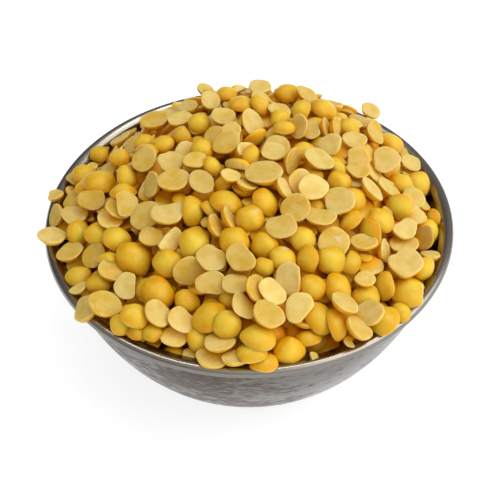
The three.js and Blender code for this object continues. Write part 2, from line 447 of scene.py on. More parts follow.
@dataclass(frozen=True)
class FloorFinish:
    """Matt acrylic, lit from below so that it looks white and shadows on it stay faint."""

    colour: str = "#a8a8a8"
    light: str = "#ffffff"
    glow: float = 0.8

    def material(self) -> bpy.types.Material:
        """Makes the material.

        Returns:
            The material for the floor.
        """
        material, _, shader = new_material("acrylic_white_lit")
        shader.inputs["Base Color"].default_value = linear(self.colour)
        shader.inputs["Roughness"].default_value = 0.9
        shader.inputs["Emission Color"].default_value = linear(self.light)
        shader.inputs["Emission Strength"].default_value = self.glow
        return material


# ---------------------------------------------------------------- meshes


def new_piece(name: str, mesh: bpy.types.Mesh, material: bpy.types.Material) -> bpy.types.Object:
    """Puts a smooth mesh in the scene.

    Args:
        name: the piece's name.
        mesh: its mesh, in the row's frame.
        material: what it is made of.

    Returns:
        The new object.
    """
    mesh.materials.append(material)
    mesh.shade_smooth()
    piece = bpy.data.objects.new(name, mesh)
    bpy.context.scene.collection.objects.link(piece)
    return piece


def ring_faces(rings: int, sides: int, first: int = 0) -> list[tuple[int, ...]]:
    """Joins rings of points, each ring to the next.

    Args:
        rings: how many rings there are.
        sides: points in a ring.
        first: number of the first ring's first point.

    Returns:
        The four-sided faces between the rings.
    """
    faces = []
    for ring in range(rings - 1):
        low = first + ring * sides
        for side in range(sides):
            nxt = (side + 1) % sides
            faces.append((low + side, low + nxt, low + sides + nxt, low + sides + side))
    return faces


def cap_faces(middle: int, first: int, sides: int, outward: bool) -> list[tuple[int, ...]]:
    """Closes a ring of points with a fan round its middle.

    Args:
        middle: number of the middle point.
        first: number of the ring's first point.
        sides: points in the ring.
        outward: whether the fan runs the same way round as the ring.

    Returns:
        The three-sided faces of the fan.
    """
    fan = [(middle, first + side, first + (side + 1) % sides) for side in range(sides)]
    return fan if outward else [(a, c, b) for a, b, c in fan]


# ---------------------------------------------------------------- the heap's form


@dataclass(frozen=True)
class EdgeSpot:
    """A place along the bowl's edge where the heap lies higher or lower."""

    toward: float  # degrees
    rise: float
    width: float  # degrees


@dataclass(frozen=True)
class HeapForm:
    """The heap's mean surface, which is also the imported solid's."""

    rim_top: float = 34.5 * MM
    inner_radius: float = 41.9 * MM
    dome: float = 16 * MM  # height of the middle above the rim
    dome_power: float = 2.5  # more is flatter on top
    lean: tuple[float, float] = (0.1, 0.24)  # how much higher the dome is towards +X and +Y, as shares
    edge: float = -1.6 * MM  # height of the edge above the rim
    spots: tuple[EdgeSpot, ...] = (
        EdgeSpot(-138, -2.2 * MM, 26),
        EdgeSpot(-88, 1.6 * MM, 24),
        EdgeSpot(5, -1.8 * MM, 26),
        EdgeSpot(50, 3.6 * MM, 30),
        EdgeSpot(98, 3.8 * MM, 25),
        EdgeSpot(172, 2.8 * MM, 17),
    )

    def height(self, x: np.ndarray, y: np.ndarray) -> np.ndarray:
        """Height of the surface above the foot.

        Args:
            x: places along +X.
            y: places along +Y.

        Returns:
            The heights at those places.
        """
        toward = np.arctan2(y, x)
        share = np.minimum(1, np.hypot(x, y) / self.inner_radius)
        edge = np.full_like(share, self.edge)
        for spot in self.spots:
            turn = math.radians(spot.toward) - toward
            off = np.arctan2(np.sin(turn), np.cos(turn)) / math.radians(spot.width)
            edge = edge + spot.rise * np.exp(-(off**2))
        lean = 1 + (self.lean[0] * x + self.lean[1] * y) / self.inner_radius
        return self.rim_top + edge * share**2 + self.dome * (1 - share**self.dome_power) * lean

    def normal(self, x: float, y: float) -> Vector:
        """Which way the surface faces at a place.

        Args:
            x: place along +X.
            y: place along +Y.

        Returns:
            The unit normal.
        """
        step = 0.5 * MM
        xs = np.array([x + step, x - step, x, x])
        ys = np.array([y, y, y + step, y - step])
        right, left, back, front = self.height(xs, ys)
        return Vector(((left - right) / (2 * step), (front - back) / (2 * step), 1)).normalized()


# ---------------------------------------------------------------- splits


class Kind(Enum):
    """How much of a half pea is left. The value is the name of the piece that holds all of that kind."""

    WHOLE = "splits_whole"
    NOTCHED = "splits_notched"
    SQUARED = "splits_squared"
    BROKEN = "splits_broken"
    CHIP = "splits_chips"


class Side(Enum):
    """Which side of a split lies up."""

    FACE = "split face"
    SKIN = "skin"


@dataclass
class SplitForm:
    """One form of split, flat side down, with its middle near the origin.

    Its long axis runs along X, and its notch or straight broken side faces +Y.
    """

    kind: Kind
    seed: int
    length: float = 6.3 * MM
    width_share: float = 0.94
    thickness: float = 2.4 * MM
    notch: float = 0.0  # depth of the seed's eye in the outline, as a share of the radius
    cut: float = 2.0  # distance of a straight broken side from the middle, as a share of the radius
    fullness: float = 2.1  # 2 is a half ellipsoid, and more is fuller
    sides: int = 26
    rise: float = 0.4  # height of the middle above the flat side, as a share of the thickness
    flat_rings: tuple[float, ...] = (0.45, 0.8, 0.92)
    dome_rings: tuple[float, ...] = (0.965, 0.89, 0.76, 0.55, 0.28)
    facet_count: int = 5
    hollow: float = 0.03  # how far the flat side is sunk, as a share of the thickness
    warp: float = 0.05  # how far the flat side is bent at its edge, as a share of the thickness
    notch_width: float = 0.36  # radians
    least_dome: float = 0.16  # height of the domed side at its edge, as a share of the thickness
    chord_sharpness: int = 14  # how sharply each flat or cut meets the rest: more is sharper
    cut_sharpness: int = 20
    facet_sharpness: int = 8
    cloud_sides: int = 44
    cloud_rings: int = 8
    waves: np.ndarray = field(init=False)
    facets: np.ndarray = field(init=False)
    warped: float = field(init=False)  # which way the flat side is bent, in radians
    chords: np.ndarray = field(init=False)  # faint flats of the outline: direction and distance
    middle: np.ndarray = field(init=False)

    def __post_init__(self) -> None:
        """Draws the small unevenness of this form, and finds its middle."""
        rng = np.random.default_rng(self.seed)
        turns = np.arange(2, 6)
        phases = rng.uniform(0, 2 * np.pi, 4)
        self.waves = np.stack([turns, phases, rng.normal(0, 0.025, 4) * 2 / turns], axis=1)
        self.facets = self._draw_facets(rng)
        self.warped = rng.uniform(0, 2 * np.pi)
        toward = (np.arange(4) + rng.uniform(-0.35, 0.35, 4)) * np.pi / 2 + rng.uniform(0, 2 * np.pi)
        self.chords = np.column_stack([toward, rng.uniform(0.88, 1.04, 4)])
        self.middle = np.zeros(2)
        around = np.linspace(0, 2 * np.pi, 64, endpoint=False)
        _, left = self._reaches(around)
        way = np.stack([np.cos(around), np.sin(around)], axis=1)
        self.middle = (way * (left**3)[:, None]).sum(0) * (2 / 3) / (left**2).sum()

    def _draw_facets(self, rng: np.random.Generator) -> np.ndarray:
        """Draws the gentle flats that its neighbours in the pod pressed into the domed side.

        Args:
            rng: where the draws come from.

        Returns:
            For each flat its direction and its distance from the middle.
        """
        count = self.facet_count
        toward = (np.arange(count) + rng.uniform(-0.3, 0.3, count)) * 2 * np.pi / count
        toward = toward + rng.uniform(0, 2 * np.pi)
        up = np.radians(rng.uniform(48, 66, count))
        way = np.stack([np.cos(toward) * np.cos(up), np.sin(toward) * np.cos(up), np.sin(up)], axis=1)
        half = np.array([self.length / 2, self.length / 2 * self.width_share, self.thickness])
        reach = np.linalg.norm(way * half, axis=1) * rng.uniform(0.84, 0.98, count)
        return np.column_stack([way, reach])

    def _reaches(self, around: np.ndarray) -> tuple[np.ndarray, np.ndarray]:
        """Radius of the unbroken outline, and of what is left of it.

        Args:
            around: directions from the middle, in radians.

        Returns:
            Both radii in each direction.
        """
        half = self.length / 2
        wide = half * self.width_share
        full = half * wide / np.hypot(wide * np.cos(around), half * np.sin(around))
        for turns, phase, size in self.waves:
            full = full * (1 + size * np.cos(turns * around + phase))
        for toward, share in self.chords:
            away = share * np.hypot(half * np.cos(toward), wide * np.sin(toward))
            straight = away / np.maximum(np.cos(around - toward), 0.05)
            sharp = self.chord_sharpness
            full = (full**-sharp + straight**-sharp) ** (-1 / sharp)
        off = np.arctan2(-np.cos(around), np.sin(around)) / self.notch_width
        full = full * (1 - self.notch * np.exp(-(off**2)))
        if self.cut >= 1:
            return full, full
        facing = np.maximum(np.sin(around), 0.05)
        straight = self.cut * wide / facing
        sharp = self.cut_sharpness
        return full, (full**-sharp + straight**-sharp) ** (-1 / sharp)

    def _domed(self, plan: np.ndarray, share: np.ndarray) -> np.ndarray:
        """Points of the domed side over places of the plan.

        Args:
            plan: the places.
            share: distance of each from the middle, as a share of the unbroken radius.

        Returns:
            The points, pressed in by the flats.
        """
        inside = np.clip(1 - share**self.fullness, 0, 1) ** (1 / self.fullness)
        points = np.column_stack([plan, self.thickness * np.maximum(inside, self.least_dome)])
        pressed = np.maximum(points @ self.facets[:, :3].T / self.facets[:, 3], 0)
        sharp = self.facet_sharpness
        return points * (1 + (pressed**sharp).sum(axis=1))[:, None] ** (-1 / sharp)

    def _placed(self, points: np.ndarray) -> np.ndarray:
        """Moves points so that the split's middle is near the origin."""
        return points - np.array([*self.middle, self.rise * self.thickness])

    def mesh(self) -> tuple[np.ndarray, list[tuple[int, ...]], np.ndarray]:
        """Builds the closed surface.

        Returns:
            The points, the faces, and for each point how much it belongs to the split face and to its edge.
        """
        around = np.linspace(0, 2 * np.pi, self.sides, endpoint=False)
        way = np.stack([np.cos(around), np.sin(around)], axis=1)
        full, left = self._reaches(around)
        broken = np.clip((full / left - 1.02) * 12, 0, 1)
        rng = np.random.default_rng(self.seed + 1)
        left = left * (1 + broken * rng.normal(0, 0.025, self.sides))
        thick, sink = self.thickness, self.hollow * self.thickness
        bend = self.warp * thick * np.cos(2 * around + self.warped)
        rings, zones = [], []

        def flat_ring(share: float, height: float, edge: float, face: np.ndarray | float = 1.0) -> None:
            """Adds a ring of the flat side."""
            rings.append(np.column_stack([way * (left * share)[:, None], height + bend * share**2]))
            zones.append(np.column_stack([np.broadcast_to(face, self.sides), np.full(self.sides, edge)]))

        def domed_ring(share: float, painted_edge_shade: float, face: np.ndarray | float = 0.0) -> None:
            """Adds a ring of the domed side."""
            rings.append(self._domed(way * (left * share)[:, None], share * left / full))
            zones.append(np.column_stack([np.broadcast_to(face, self.sides), np.full(self.sides, painted_edge_shade)]))

        # On the split face the edge value sets how pale its rim is: partly worn, partly a painted highlight.
        for share in self.flat_rings:
            flat_ring(share, sink * (1 - share**2), 0.35 * (share > 0.9))
        flat_ring(0.965, 0.025 * thick, 1.0)
        flat_ring(0.992, 0.075 * thick, 0.8, np.maximum(0.75, broken))
        # On the domed side the edge value is how much painted shade the skin gets towards the split face.
        domed_ring(1.0, 0.9, broken)
        for share in self.dome_rings:
            domed_ring(share, share**4)
        ends = np.concatenate([[[0, 0, sink]], self._domed(np.zeros((1, 2)), np.zeros(1))])
        points = self._placed(np.concatenate([*rings, ends]))
        faces = ring_faces(len(rings), self.sides)
        faces += cap_faces(len(points) - 2, 0, self.sides, outward=False)
        faces += cap_faces(len(points) - 1, self.sides * (len(rings) - 1), self.sides, outward=True)
        return points, faces, np.concatenate([*zones, [[1, 0], [0, 0]]])

    def cloud(self) -> np.ndarray:
        """Points all over both sides, close enough together to cover a height map.

        Returns:
            The points.
        """
        sides, rings = self.cloud_sides, self.cloud_rings
        around = np.tile(np.linspace(0, 2 * np.pi, sides, endpoint=False), rings)
        share = np.repeat(np.linspace(1 / rings, 1, rings), sides)
        full, left = self._reaches(around)
        plan = np.stack([np.cos(around), np.sin(around)], axis=1) * (left * share)[:, None]
        low = np.column_stack([plan, np.zeros(len(plan))])
        return self._placed(np.concatenate([low, self._domed(plan, share * left / full)]))

    def coarse(self, sides: int, dome_rings: tuple[float, ...]) -> "SplitForm":
        """A copy with fewer faces.

        Args:
            sides: points round its outline.
            dome_rings: where the domed side has its rings.

        Returns:
            The copy.
        """
        return replace(self, sides=sides, flat_rings=(0.93,), dome_rings=dome_rings)


@dataclass
class Split:
    """One split in the heap."""

    form: int
    place: Vector
    turn: Quaternion
    draw: tuple[float, float, float]  # shade, warmth and how much husk is left, each from 0 to 1
    named: bool = False  # whether it is one of the landmarks, which stay put while the others settle

    def points(self, shape: np.ndarray) -> np.ndarray:
        """Its own points of a shape.

        Args:
            shape: points about the split's middle, unturned.

        Returns:
            The points where the split lies.
        """
        return shape @ np.array(self.turn.to_matrix()).T + np.array(self.place)


# ---------------------------------------------------------------- the camera


@dataclass(frozen=True)
class View:
    """The camera: where it stands, and what a pixel of its picture looks at."""

    distance: float = 280 * MM  # from the middle of the rim
    elevation: float = 43.67  # degrees above the rim, seen from its middle
    pitch: float = 1.428  # degrees that it looks further down than that
    yaw: float = 0.033  # degrees that it looks to the right
    roll: float = 0.7136  # degrees that it is tipped clockwise
    lens: float = 90.96  # millimetres
    sensor: float = 36.0  # width in millimetres
    rim_height: float = 33.44 * MM
    searched: tuple[float, float] = (0.7, 1.3)  # ends of the lines of sight, as shares of the distance
    search_steps: int = 1200

    @property
    def place(self) -> Vector:
        """Where the camera stands."""
        up = math.radians(self.elevation)
        return Vector((0, -self.distance * math.cos(up), self.rim_height + self.distance * math.sin(up)))

    @property
    def axes(self) -> Matrix:
        """The camera's right, up and backward directions, as columns."""
        down, yaw, roll = (math.radians(a) for a in (self.elevation + self.pitch, self.yaw, self.roll))
        ahead = Vector((math.sin(yaw) * math.cos(down), math.cos(yaw) * math.cos(down), -math.sin(down)))
        right = ahead.cross(Vector((0, 0, 1))).normalized()
        up = right.cross(ahead)
        tilted_right = right * math.cos(roll) - up * math.sin(roll)
        tilted_up = right * math.sin(roll) + up * math.cos(roll)
        return Matrix((tilted_right, tilted_up, -ahead)).transposed()

    @property
    def focal(self) -> float:
        """Focal length in pixels."""
        return self.lens / self.sensor * PICTURE

    def direction(self, degrees: float) -> Vector:
        """A direction across the picture.

        Args:
            degrees: the direction, anticlockwise from the right.

        Returns:
            The unit vector.
        """
        turn = math.radians(degrees)
        return self.axes @ Vector((math.cos(turn), math.sin(turn), 0))

    def seen(self, points: np.ndarray) -> tuple[np.ndarray, np.ndarray, np.ndarray]:
        """Where points show in the picture.

        Args:
            points: places in the row's frame, along the last axis.

        Returns:
            Columns and rows, counted from the picture's top left, and distances ahead of the camera.
        """
        local = (points - np.array(self.place)) @ np.array(self.axes)
        ahead = -local[..., 2]
        columns = PICTURE / 2 + local[..., 0] / ahead * self.focal
        rows = PICTURE / 2 - local[..., 1] / ahead * self.focal
        return columns, rows, ahead

    def line(self, column: float, row: float) -> Vector:
        """The line of sight through a pixel, as a vector as long as one unit of depth."""
        half = PICTURE / 2
        return self.axes @ Vector(((column - half) / self.focal, (half - row) / self.focal, -1))

    def met(self, column: float, row: float, form: HeapForm, lift: float) -> Vector:
        """Where the line of sight through a pixel comes to a height above the heap's mean surface.

        Args:
            column: the pixel's column.
            row: the pixel's row.
            form: the heap's form.
            lift: the height above its surface.

        Returns:
            The place, or the nearest one where the line passes over the heap.
        """
        way = self.line(column, row)
        start, end = (share * self.distance for share in self.searched)
        steps = np.linspace(start, end, self.search_steps)
        points = np.array(self.place) + steps[:, None] * np.array(way)
        over = points[:, 2] - form.height(points[:, 0], points[:, 1]) - lift
        first = int(np.argmax(over < 0)) if (over < 0).any() else int(np.argmin(over))
        return Vector(points[first])

    def camera(self) -> bpy.types.Object:
        """Makes the camera and looks through it.

        Returns:
            The camera object.
        """
        data = bpy.data.cameras.new("camera")
        data.lens = self.lens
        data.sensor_width = self.sensor
        data.clip_start = 0.01
        camera = bpy.data.objects.new("camera", data)
        camera.matrix_world = Matrix.Translation(self.place) @ self.axes.to_4x4()
        bpy.context.scene.collection.objects.link(camera)
        bpy.context.scene.camera = camera
        return camera


# ---------------------------------------------------------------- the bowl


@dataclass
class Bowl:
    """A bowl spun from sheet, with its rim rolled outwards."""

    rim_radius: float = 45 * MM
    roll_radius: float = 1.1 * MM
    roll_height: float = 33.4 * MM
    wall_radius: float = 42.8 * MM
    foot_radius: float = 23.4 * MM
    wall_power: float = 1.5
    sheet: float = 0.9 * MM
    sides: int = 192
    wall_steps: int = 26
    roll_steps: int = 18
    roll_reach: float = 0.62  # how far the roll goes each way from level, in half turns
    polish_from: tuple[float, float] = (-0.1, 0.3)  # how far up the roll polish begins and is full, likewise
    lip_rise: float = 0.4  # height at which the wall meets the roll, as a share of the roll's radius
    neck_drop: tuple[float, float] = (1.3, 1.2)  # how far below the roll the wall ends and its neck is

    def wall(self, share: float, depth: float) -> tuple[float, float]:
        """A point of the wall.

        Args:
            share: how far up the wall, from 0 at the foot to 1 at the roll.
            depth: how far in from the outer face.

        Returns:
            The point's radius and height.
        """

        def outer(at: float) -> Vector:
            """A point of the outer face."""
            turn = (1 - min(1.0, max(0.0, at))) * math.pi / 2
            out = max(0.0, math.cos(turn)) ** (2 / self.wall_power)
            down = max(0.0, math.sin(turn)) ** (2 / self.wall_power)
            radius = self.foot_radius + (self.wall_radius - self.foot_radius) * out
            return Vector((radius, self.roll_height * (1 - down)))

        point = outer(share)
        if share <= 0:
            return point.x, depth
        if share >= 1:
            return point.x - depth, point.y
        along = (outer(share + 0.001) - outer(share - 0.001)).normalized()
        return point.x - along.y * depth, point.y + along.x * depth

    def profile(self) -> list[tuple[float, float]]:
        """The closed section from the middle of the foot, up the outside and down the inside.

        Returns:
            Radii and heights.
        """
        shares = [i / self.wall_steps for i in range(self.wall_steps + 1)]
        outside = [self.wall(s, 0) for s in shares[:-1]]
        inside = [self.wall(s, self.sheet) for s in reversed(shares)]
        inside[0] = (inside[0][0], self.roll_height + self.lip_rise * self.roll_radius)
        low, high = -self.roll_reach * math.pi, self.roll_reach * math.pi
        roll = []
        for i in range(self.roll_steps + 1):
            turn = low + (high - low) * i / self.roll_steps
            roll.append((
                self.rim_radius - self.roll_radius + self.roll_radius * math.cos(turn),
                self.roll_height + self.roll_radius * math.sin(turn),
            ))
        outside = [p for p in outside if p[1] < self.roll_height - self.neck_drop[0] * self.roll_radius]
        under = (self.wall_radius + 0.1 * MM, self.roll_height - self.neck_drop[1] * self.roll_radius)
        return [(0.0, 0.0), *outside, under, *roll, *inside, (0.0, self.sheet)]

    def build(self) -> bpy.types.Object:
        """Turns the section about the bowl's axis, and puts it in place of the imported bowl.

        Returns:
            The bowl.
        """
        profile = self.profile()
        around = np.linspace(0, 2 * np.pi, self.sides, endpoint=False)
        way = np.stack([np.cos(around), np.sin(around)], axis=1)
        body = [np.column_stack([way * r, np.full(self.sides, z)]) for r, z in profile[1:-1]]
        points = np.concatenate([*body, [[0, 0, profile[0][1]], [0, 0, profile[-1][1]]]])
        faces = ring_faces(len(body), self.sides)
        last = self.sides * (len(body) - 1)
        faces += cap_faces(len(points) - 2, 0, self.sides, outward=False)
        faces += cap_faces(len(points) - 1, last, self.sides, outward=True)
        mesh = bpy.data.meshes.new("bowl_spun")
        mesh.from_pydata(points.tolist(), [], faces)
        polish = self._polish(len(body), len(points)).astype(np.float32)
        mesh.attributes.new("polish", "FLOAT", "POINT").data.foreach_set("value", polish)
        piece = new_piece("bowl_spun", mesh, SpunSteelFinish().material())
        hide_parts("bowl")
        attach(piece, "root")
        return piece

    def _polish(self, rings: int, count: int) -> np.ndarray:
        """Where the bowl gets the lighter colour: not up its outside, but fully from near the roll's top
        inwards.

            There wiping keeps it bright, and the colour's warmth is a painted reflection of the heap.

        The middle of the foot counts as inside too, where it doesn't show.

        Args:
            rings: how many rings of points the bowl has.
            count: how many points it has.

        Returns:
            A value from 0 to 1 for each point.
        """
        first = (rings - self.wall_steps - 1) * self.sides
        polish = np.zeros(count)
        polish[first:] = 1
        rise = np.linspace(-self.roll_reach, self.roll_reach, self.roll_steps + 1)
        rolled = np.repeat(np.interp(rise, self.polish_from, (0, 1)), self.sides)
        polish[first - len(rolled) : first] = rolled
        return polish

    def rim_heights(self, radius: np.ndarray) -> np.ndarray:
        """Height of the bowl's top where it holds a split up.

        Args:
            radius: distances from the axis.

        Returns:
            The height there, or far below where there is no bowl.
        """
        middle = self.rim_radius - self.roll_radius
        over = np.clip(1 - ((radius - middle) / self.roll_radius) ** 2, 0, 1)
        roll = self.roll_height + self.roll_radius * np.sqrt(over)
        inside = np.array([self.wall(share, self.sheet) for share in np.linspace(0, 1, 40)])
        wall = np.interp(radius, inside[:, 0], inside[:, 1])
        edge = self.wall_radius - self.sheet
        return np.where(radius < edge, wall, np.where(radius < self.rim_radius, roll, -1.0))


# ---------------------------------------------------------------- laying and settling


@dataclass(frozen=True)
class Landmark:
    """A split that stands out in the heap, and how it lies as the camera sees it.

    Directions across the picture are in degrees, anticlockwise from the right.
    """

    column: float
    row: float
    size: float  # its longest way across, in millimetres
    side: Side  # which side lies up
    away: float  # degrees between that side and the camera
    toward: float = 90  # which way that side is turned
    kind: Kind = Kind.WHOLE
    open: float | None = None  # which way its notch or straight side points, if not the way it is turned
    husk: float = 0.0
    # how light it is; the low values, given to landmarks that lie in shade, are painted shade
    shade: float = 0.5
    warmth: float | None = None  # drawn, if not given

    def turn(self, view: View) -> Quaternion:
        """How it lies.

        Args:
            view: the camera.

        Returns:
            The turn from lying flat side down.
        """
        tip = math.radians(self.away)
        normal = view.axes.col[2] * math.cos(tip) + view.direction(self.toward) * math.sin(tip)
        out = view.direction(self.toward if self.open is None else self.open)
        out = (out - normal * out.dot(normal)).normalized()
        high = normal if self.side is Side.SKIN else -normal
        return Matrix((out.cross(high), out, high)).transposed().to_quaternion()


# The splits that stand out, roughly from the back of the heap to the front, and the lower before the upper.
# The first eight of FRONT lie low in the gaps at the front and on the left.
BACK = (
    Landmark(205, 91, 4.6, Side.FACE, 40, 60),
    Landmark(226, 92, 5.4, Side.SKIN, 55),
    Landmark(260, 89, 5.6, Side.FACE, 42),
    Landmark(287, 91, 6.2, Side.SKIN, 40),
    Landmark(306, 96, 5.6, Side.FACE, 48, 60),
    Landmark(325, 107, 6.8, Side.SKIN, 48, 60),
    Landmark(370, 112, 5.2, Side.FACE, 35, 60),
    Landmark(210, 101, 4.8, Side.FACE, 25, 60),
    Landmark(241, 102, 6.2, Side.SKIN, 52),
    Landmark(262, 104, 5.6, Side.SKIN, 45, 40),
    Landmark(300, 110, 5.2, Side.SKIN, 30, 150),
    Landmark(373, 133, 6.2, Side.FACE, 45, 20),
    Landmark(393, 141, 6.6, Side.SKIN, 52, 55),
    Landmark(199, 122, 5.3, Side.SKIN, 20),
    Landmark(223, 117, 5.5, Side.FACE, 25, 70, Kind.SQUARED, 90),
    Landmark(250, 123, 6.3, Side.FACE, 38, 20),
    Landmark(280, 116, 4.6, Side.SKIN, 35),
    Landmark(284, 126, 5.2, Side.SKIN, 55),
    Landmark(300, 127, 5.8, Side.FACE, 38, 170),
    Landmark(324, 128, 4.8, Side.FACE, 66, 10),
    Landmark(334, 127, 4.8, Side.FACE, 66, 0),
    Landmark(350, 126, 5.2, Side.SKIN, 30, 60),
    Landmark(155, 122, 7.2, Side.FACE, 50, 100),
    Landmark(144, 142, 5.2, Side.SKIN, 15),
    Landmark(163, 143, 5.2, Side.SKIN, 30),
    Landmark(354, 142, 5.8, Side.FACE, 42, 80),
    Landmark(331, 146, 5.8, Side.FACE, 32, 130),
    Landmark(215, 136, 5.0, Side.FACE, 35, 130),
    Landmark(202, 148, 5.6, Side.SKIN, 20),
    Landmark(227, 144, 6.4, Side.FACE, 25, 120),
    Landmark(253, 156, 5.2, Side.SKIN, 35, 0),
    Landmark(273, 153, 5.6, Side.FACE, 40, 80),
    Landmark(290, 160, 6.2, Side.FACE, 58, 340),
    Landmark(318, 161, 6.9, Side.FACE, 44, 65, warmth=0.2),
    Landmark(99, 153, 4.9, Side.SKIN, 30),
    Landmark(119, 156, 5.0, Side.SKIN, 35),
    Landmark(146, 161, 6.3, Side.FACE, 35, 130),
    Landmark(170, 163, 5.8, Side.FACE, 28, 60, Kind.NOTCHED, 120, shade=0.3),
    Landmark(213, 165, 4.6, Side.SKIN, 30, 40),
    Landmark(195, 162, 5.5, Side.FACE, 42, 95, shade=0.8),
    Landmark(358, 161, 6.2, Side.FACE, 20, 90, Kind.SQUARED, 180),
    Landmark(386, 161, 7.0, Side.FACE, 22, 90, Kind.SQUARED, 180),
    Landmark(410, 164, 5.2, Side.FACE, 35, 60),
    Landmark(358, 172, 5.4, Side.FACE, 45, 80),
)
LEFT = (
    Landmark(84, 173, 5.8, Side.SKIN, 28),
    Landmark(128, 176, 5.6, Side.SKIN, 38, 20),
    Landmark(99, 180, 8.0, Side.SKIN, 48, 85, warmth=1.0),
    Landmark(201, 183, 5.8, Side.FACE, 28, 70, shade=0.25),
    Landmark(154, 185, 6.2, Side.FACE, 55, 170),
    Landmark(174, 182, 7.2, Side.FACE, 42, 95),
    Landmark(123, 190, 6.2, Side.SKIN, 60),
    Landmark(56, 197, 5.0, Side.FACE, 60, 100, Kind.SQUARED, 180),
    Landmark(92, 201, 6.2, Side.FACE, 18, 90, Kind.SQUARED, 90, shade=0.35),
    Landmark(117, 211, 6.0, Side.FACE, 45, 60),
    Landmark(126, 205, 6.2, Side.FACE, 24, 60, Kind.SQUARED, 190),
    Landmark(195, 211, 7.0, Side.SKIN, 48, 10),
    Landmark(147, 217, 7.2, Side.FACE, 30, 130, warmth=0.8),
    Landmark(168, 216, 7.5, Side.FACE, 40, 92, Kind.SQUARED, 95),
    Landmark(75, 217, 6.6, Side.FACE, 40, 95, Kind.SQUARED, 90),
    Landmark(110, 222, 5.7, Side.FACE, 46, 80, shade=0.8),
    Landmark(52, 238, 6.6, Side.FACE, 55, 80),
    Landmark(80, 233, 6.2, Side.SKIN, 30, 10),
    Landmark(99, 234, 6.3, Side.SKIN, 22, 50),
    Landmark(151, 238, 5.2, Side.FACE, 32, 90, Kind.NOTCHED, 60),
    Landmark(118, 238, 6.6, Side.SKIN, 33, 50),
    Landmark(170, 241, 6.3, Side.FACE, 28, 10, Kind.BROKEN, 140, shade=0.9, warmth=0.0),
    Landmark(71, 254, 6.4, Side.FACE, 50, 110),
    Landmark(196, 243, 7.6, Side.SKIN, 22, 40, warmth=0.0),
    Landmark(95, 257, 6.0, Side.FACE, 28, 130, warmth=1.0),
    Landmark(108, 257, 5.4, Side.SKIN, 75, 95),
    Landmark(134, 258, 8.3, Side.SKIN, 14, 45, warmth=0.8),
    Landmark(110, 272, 5.8, Side.FACE, 44, 60),
    Landmark(188, 270, 6.6, Side.FACE, 22, 300, warmth=0.9),
    Landmark(168, 263, 6.6, Side.SKIN, 8, 60, warmth=0.3),
    Landmark(78, 275, 5.8, Side.SKIN, 34, 90, shade=0.3),
    Landmark(98, 283, 5.4, Side.SKIN, 20, 90, shade=0.3),
    Landmark(88, 310, 6.4, Side.FACE, 45, 140),
    Landmark(126, 287, 6.2, Side.FACE, 18, 100, Kind.SQUARED, 0, warmth=0.1),
    Landmark(104, 306, 7.4, Side.FACE, 42, 65),
    Landmark(158, 293, 8.0, Side.SKIN, 12, 50, warmth=1.0),
    Landmark(187, 301, 5.5, Side.SKIN, 12, 60),
)
RIGHT = (
    Landmark(340, 181, 5.8, Side.SKIN, 15, 60, husk=0.35),
    Landmark(403, 181, 6.2, Side.SKIN, 52, 70),
    Landmark(421, 184, 6.4, Side.SKIN, 30, 10),
    Landmark(370, 191, 6.6, Side.FACE, 66, 42),
    Landmark(387, 190, 6.6, Side.FACE, 64, 48),
    Landmark(313, 189, 6.8, Side.FACE, 28, 80, shade=1.0, warmth=0.0),
    Landmark(354, 199, 5.8, Side.SKIN, 20, 60, warmth=0.7),
    Landmark(340, 203, 7.5, Side.FACE, 36, 105, Kind.NOTCHED, 180),
    Landmark(413, 199, 5.8, Side.FACE, 35, 60),
    Landmark(400, 208, 6.8, Side.SKIN, 22, 250),
    Landmark(320, 219, 7.0, Side.FACE, 50, 85, Kind.SQUARED, 80, warmth=0.7),
    Landmark(349, 219, 6.0, Side.SKIN, 55, 130),
    Landmark(382, 219, 6.4, Side.SKIN, 30, 60),
    Landmark(431, 219, 5.0, Side.SKIN, 58, 180),
    Landmark(426, 238, 6.0, Side.FACE, 40, 170, shade=0.3),
    Landmark(404, 246, 6.6, Side.FACE, 48, 90),
    Landmark(413, 216, 5.2, Side.FACE, 35, 60),
    Landmark(404, 231, 6.6, Side.FACE, 38, 65, Kind.SQUARED, 120, warmth=0.0),
    Landmark(368, 233, 7.6, Side.SKIN, 58, 190),
    Landmark(364, 244, 6.0, Side.FACE, 52, 88),
    Landmark(430, 257, 4.6, Side.FACE, 70, 85),
    Landmark(405, 265, 8.0, Side.FACE, 38, 80, Kind.NOTCHED, 125, warmth=0.2),
    Landmark(426, 270, 5.8, Side.SKIN, 45, 330),
    Landmark(409, 290, 8.2, Side.SKIN, 40, 85, Kind.SQUARED, 350),
    Landmark(382, 286, 6.4, Side.SKIN, 55, 180),
    Landmark(365, 281, 4.8, Side.FACE, 50, 90, shade=1.0),
    Landmark(366, 298, 6.5, Side.SKIN, 6, 90, warmth=0.1),
)
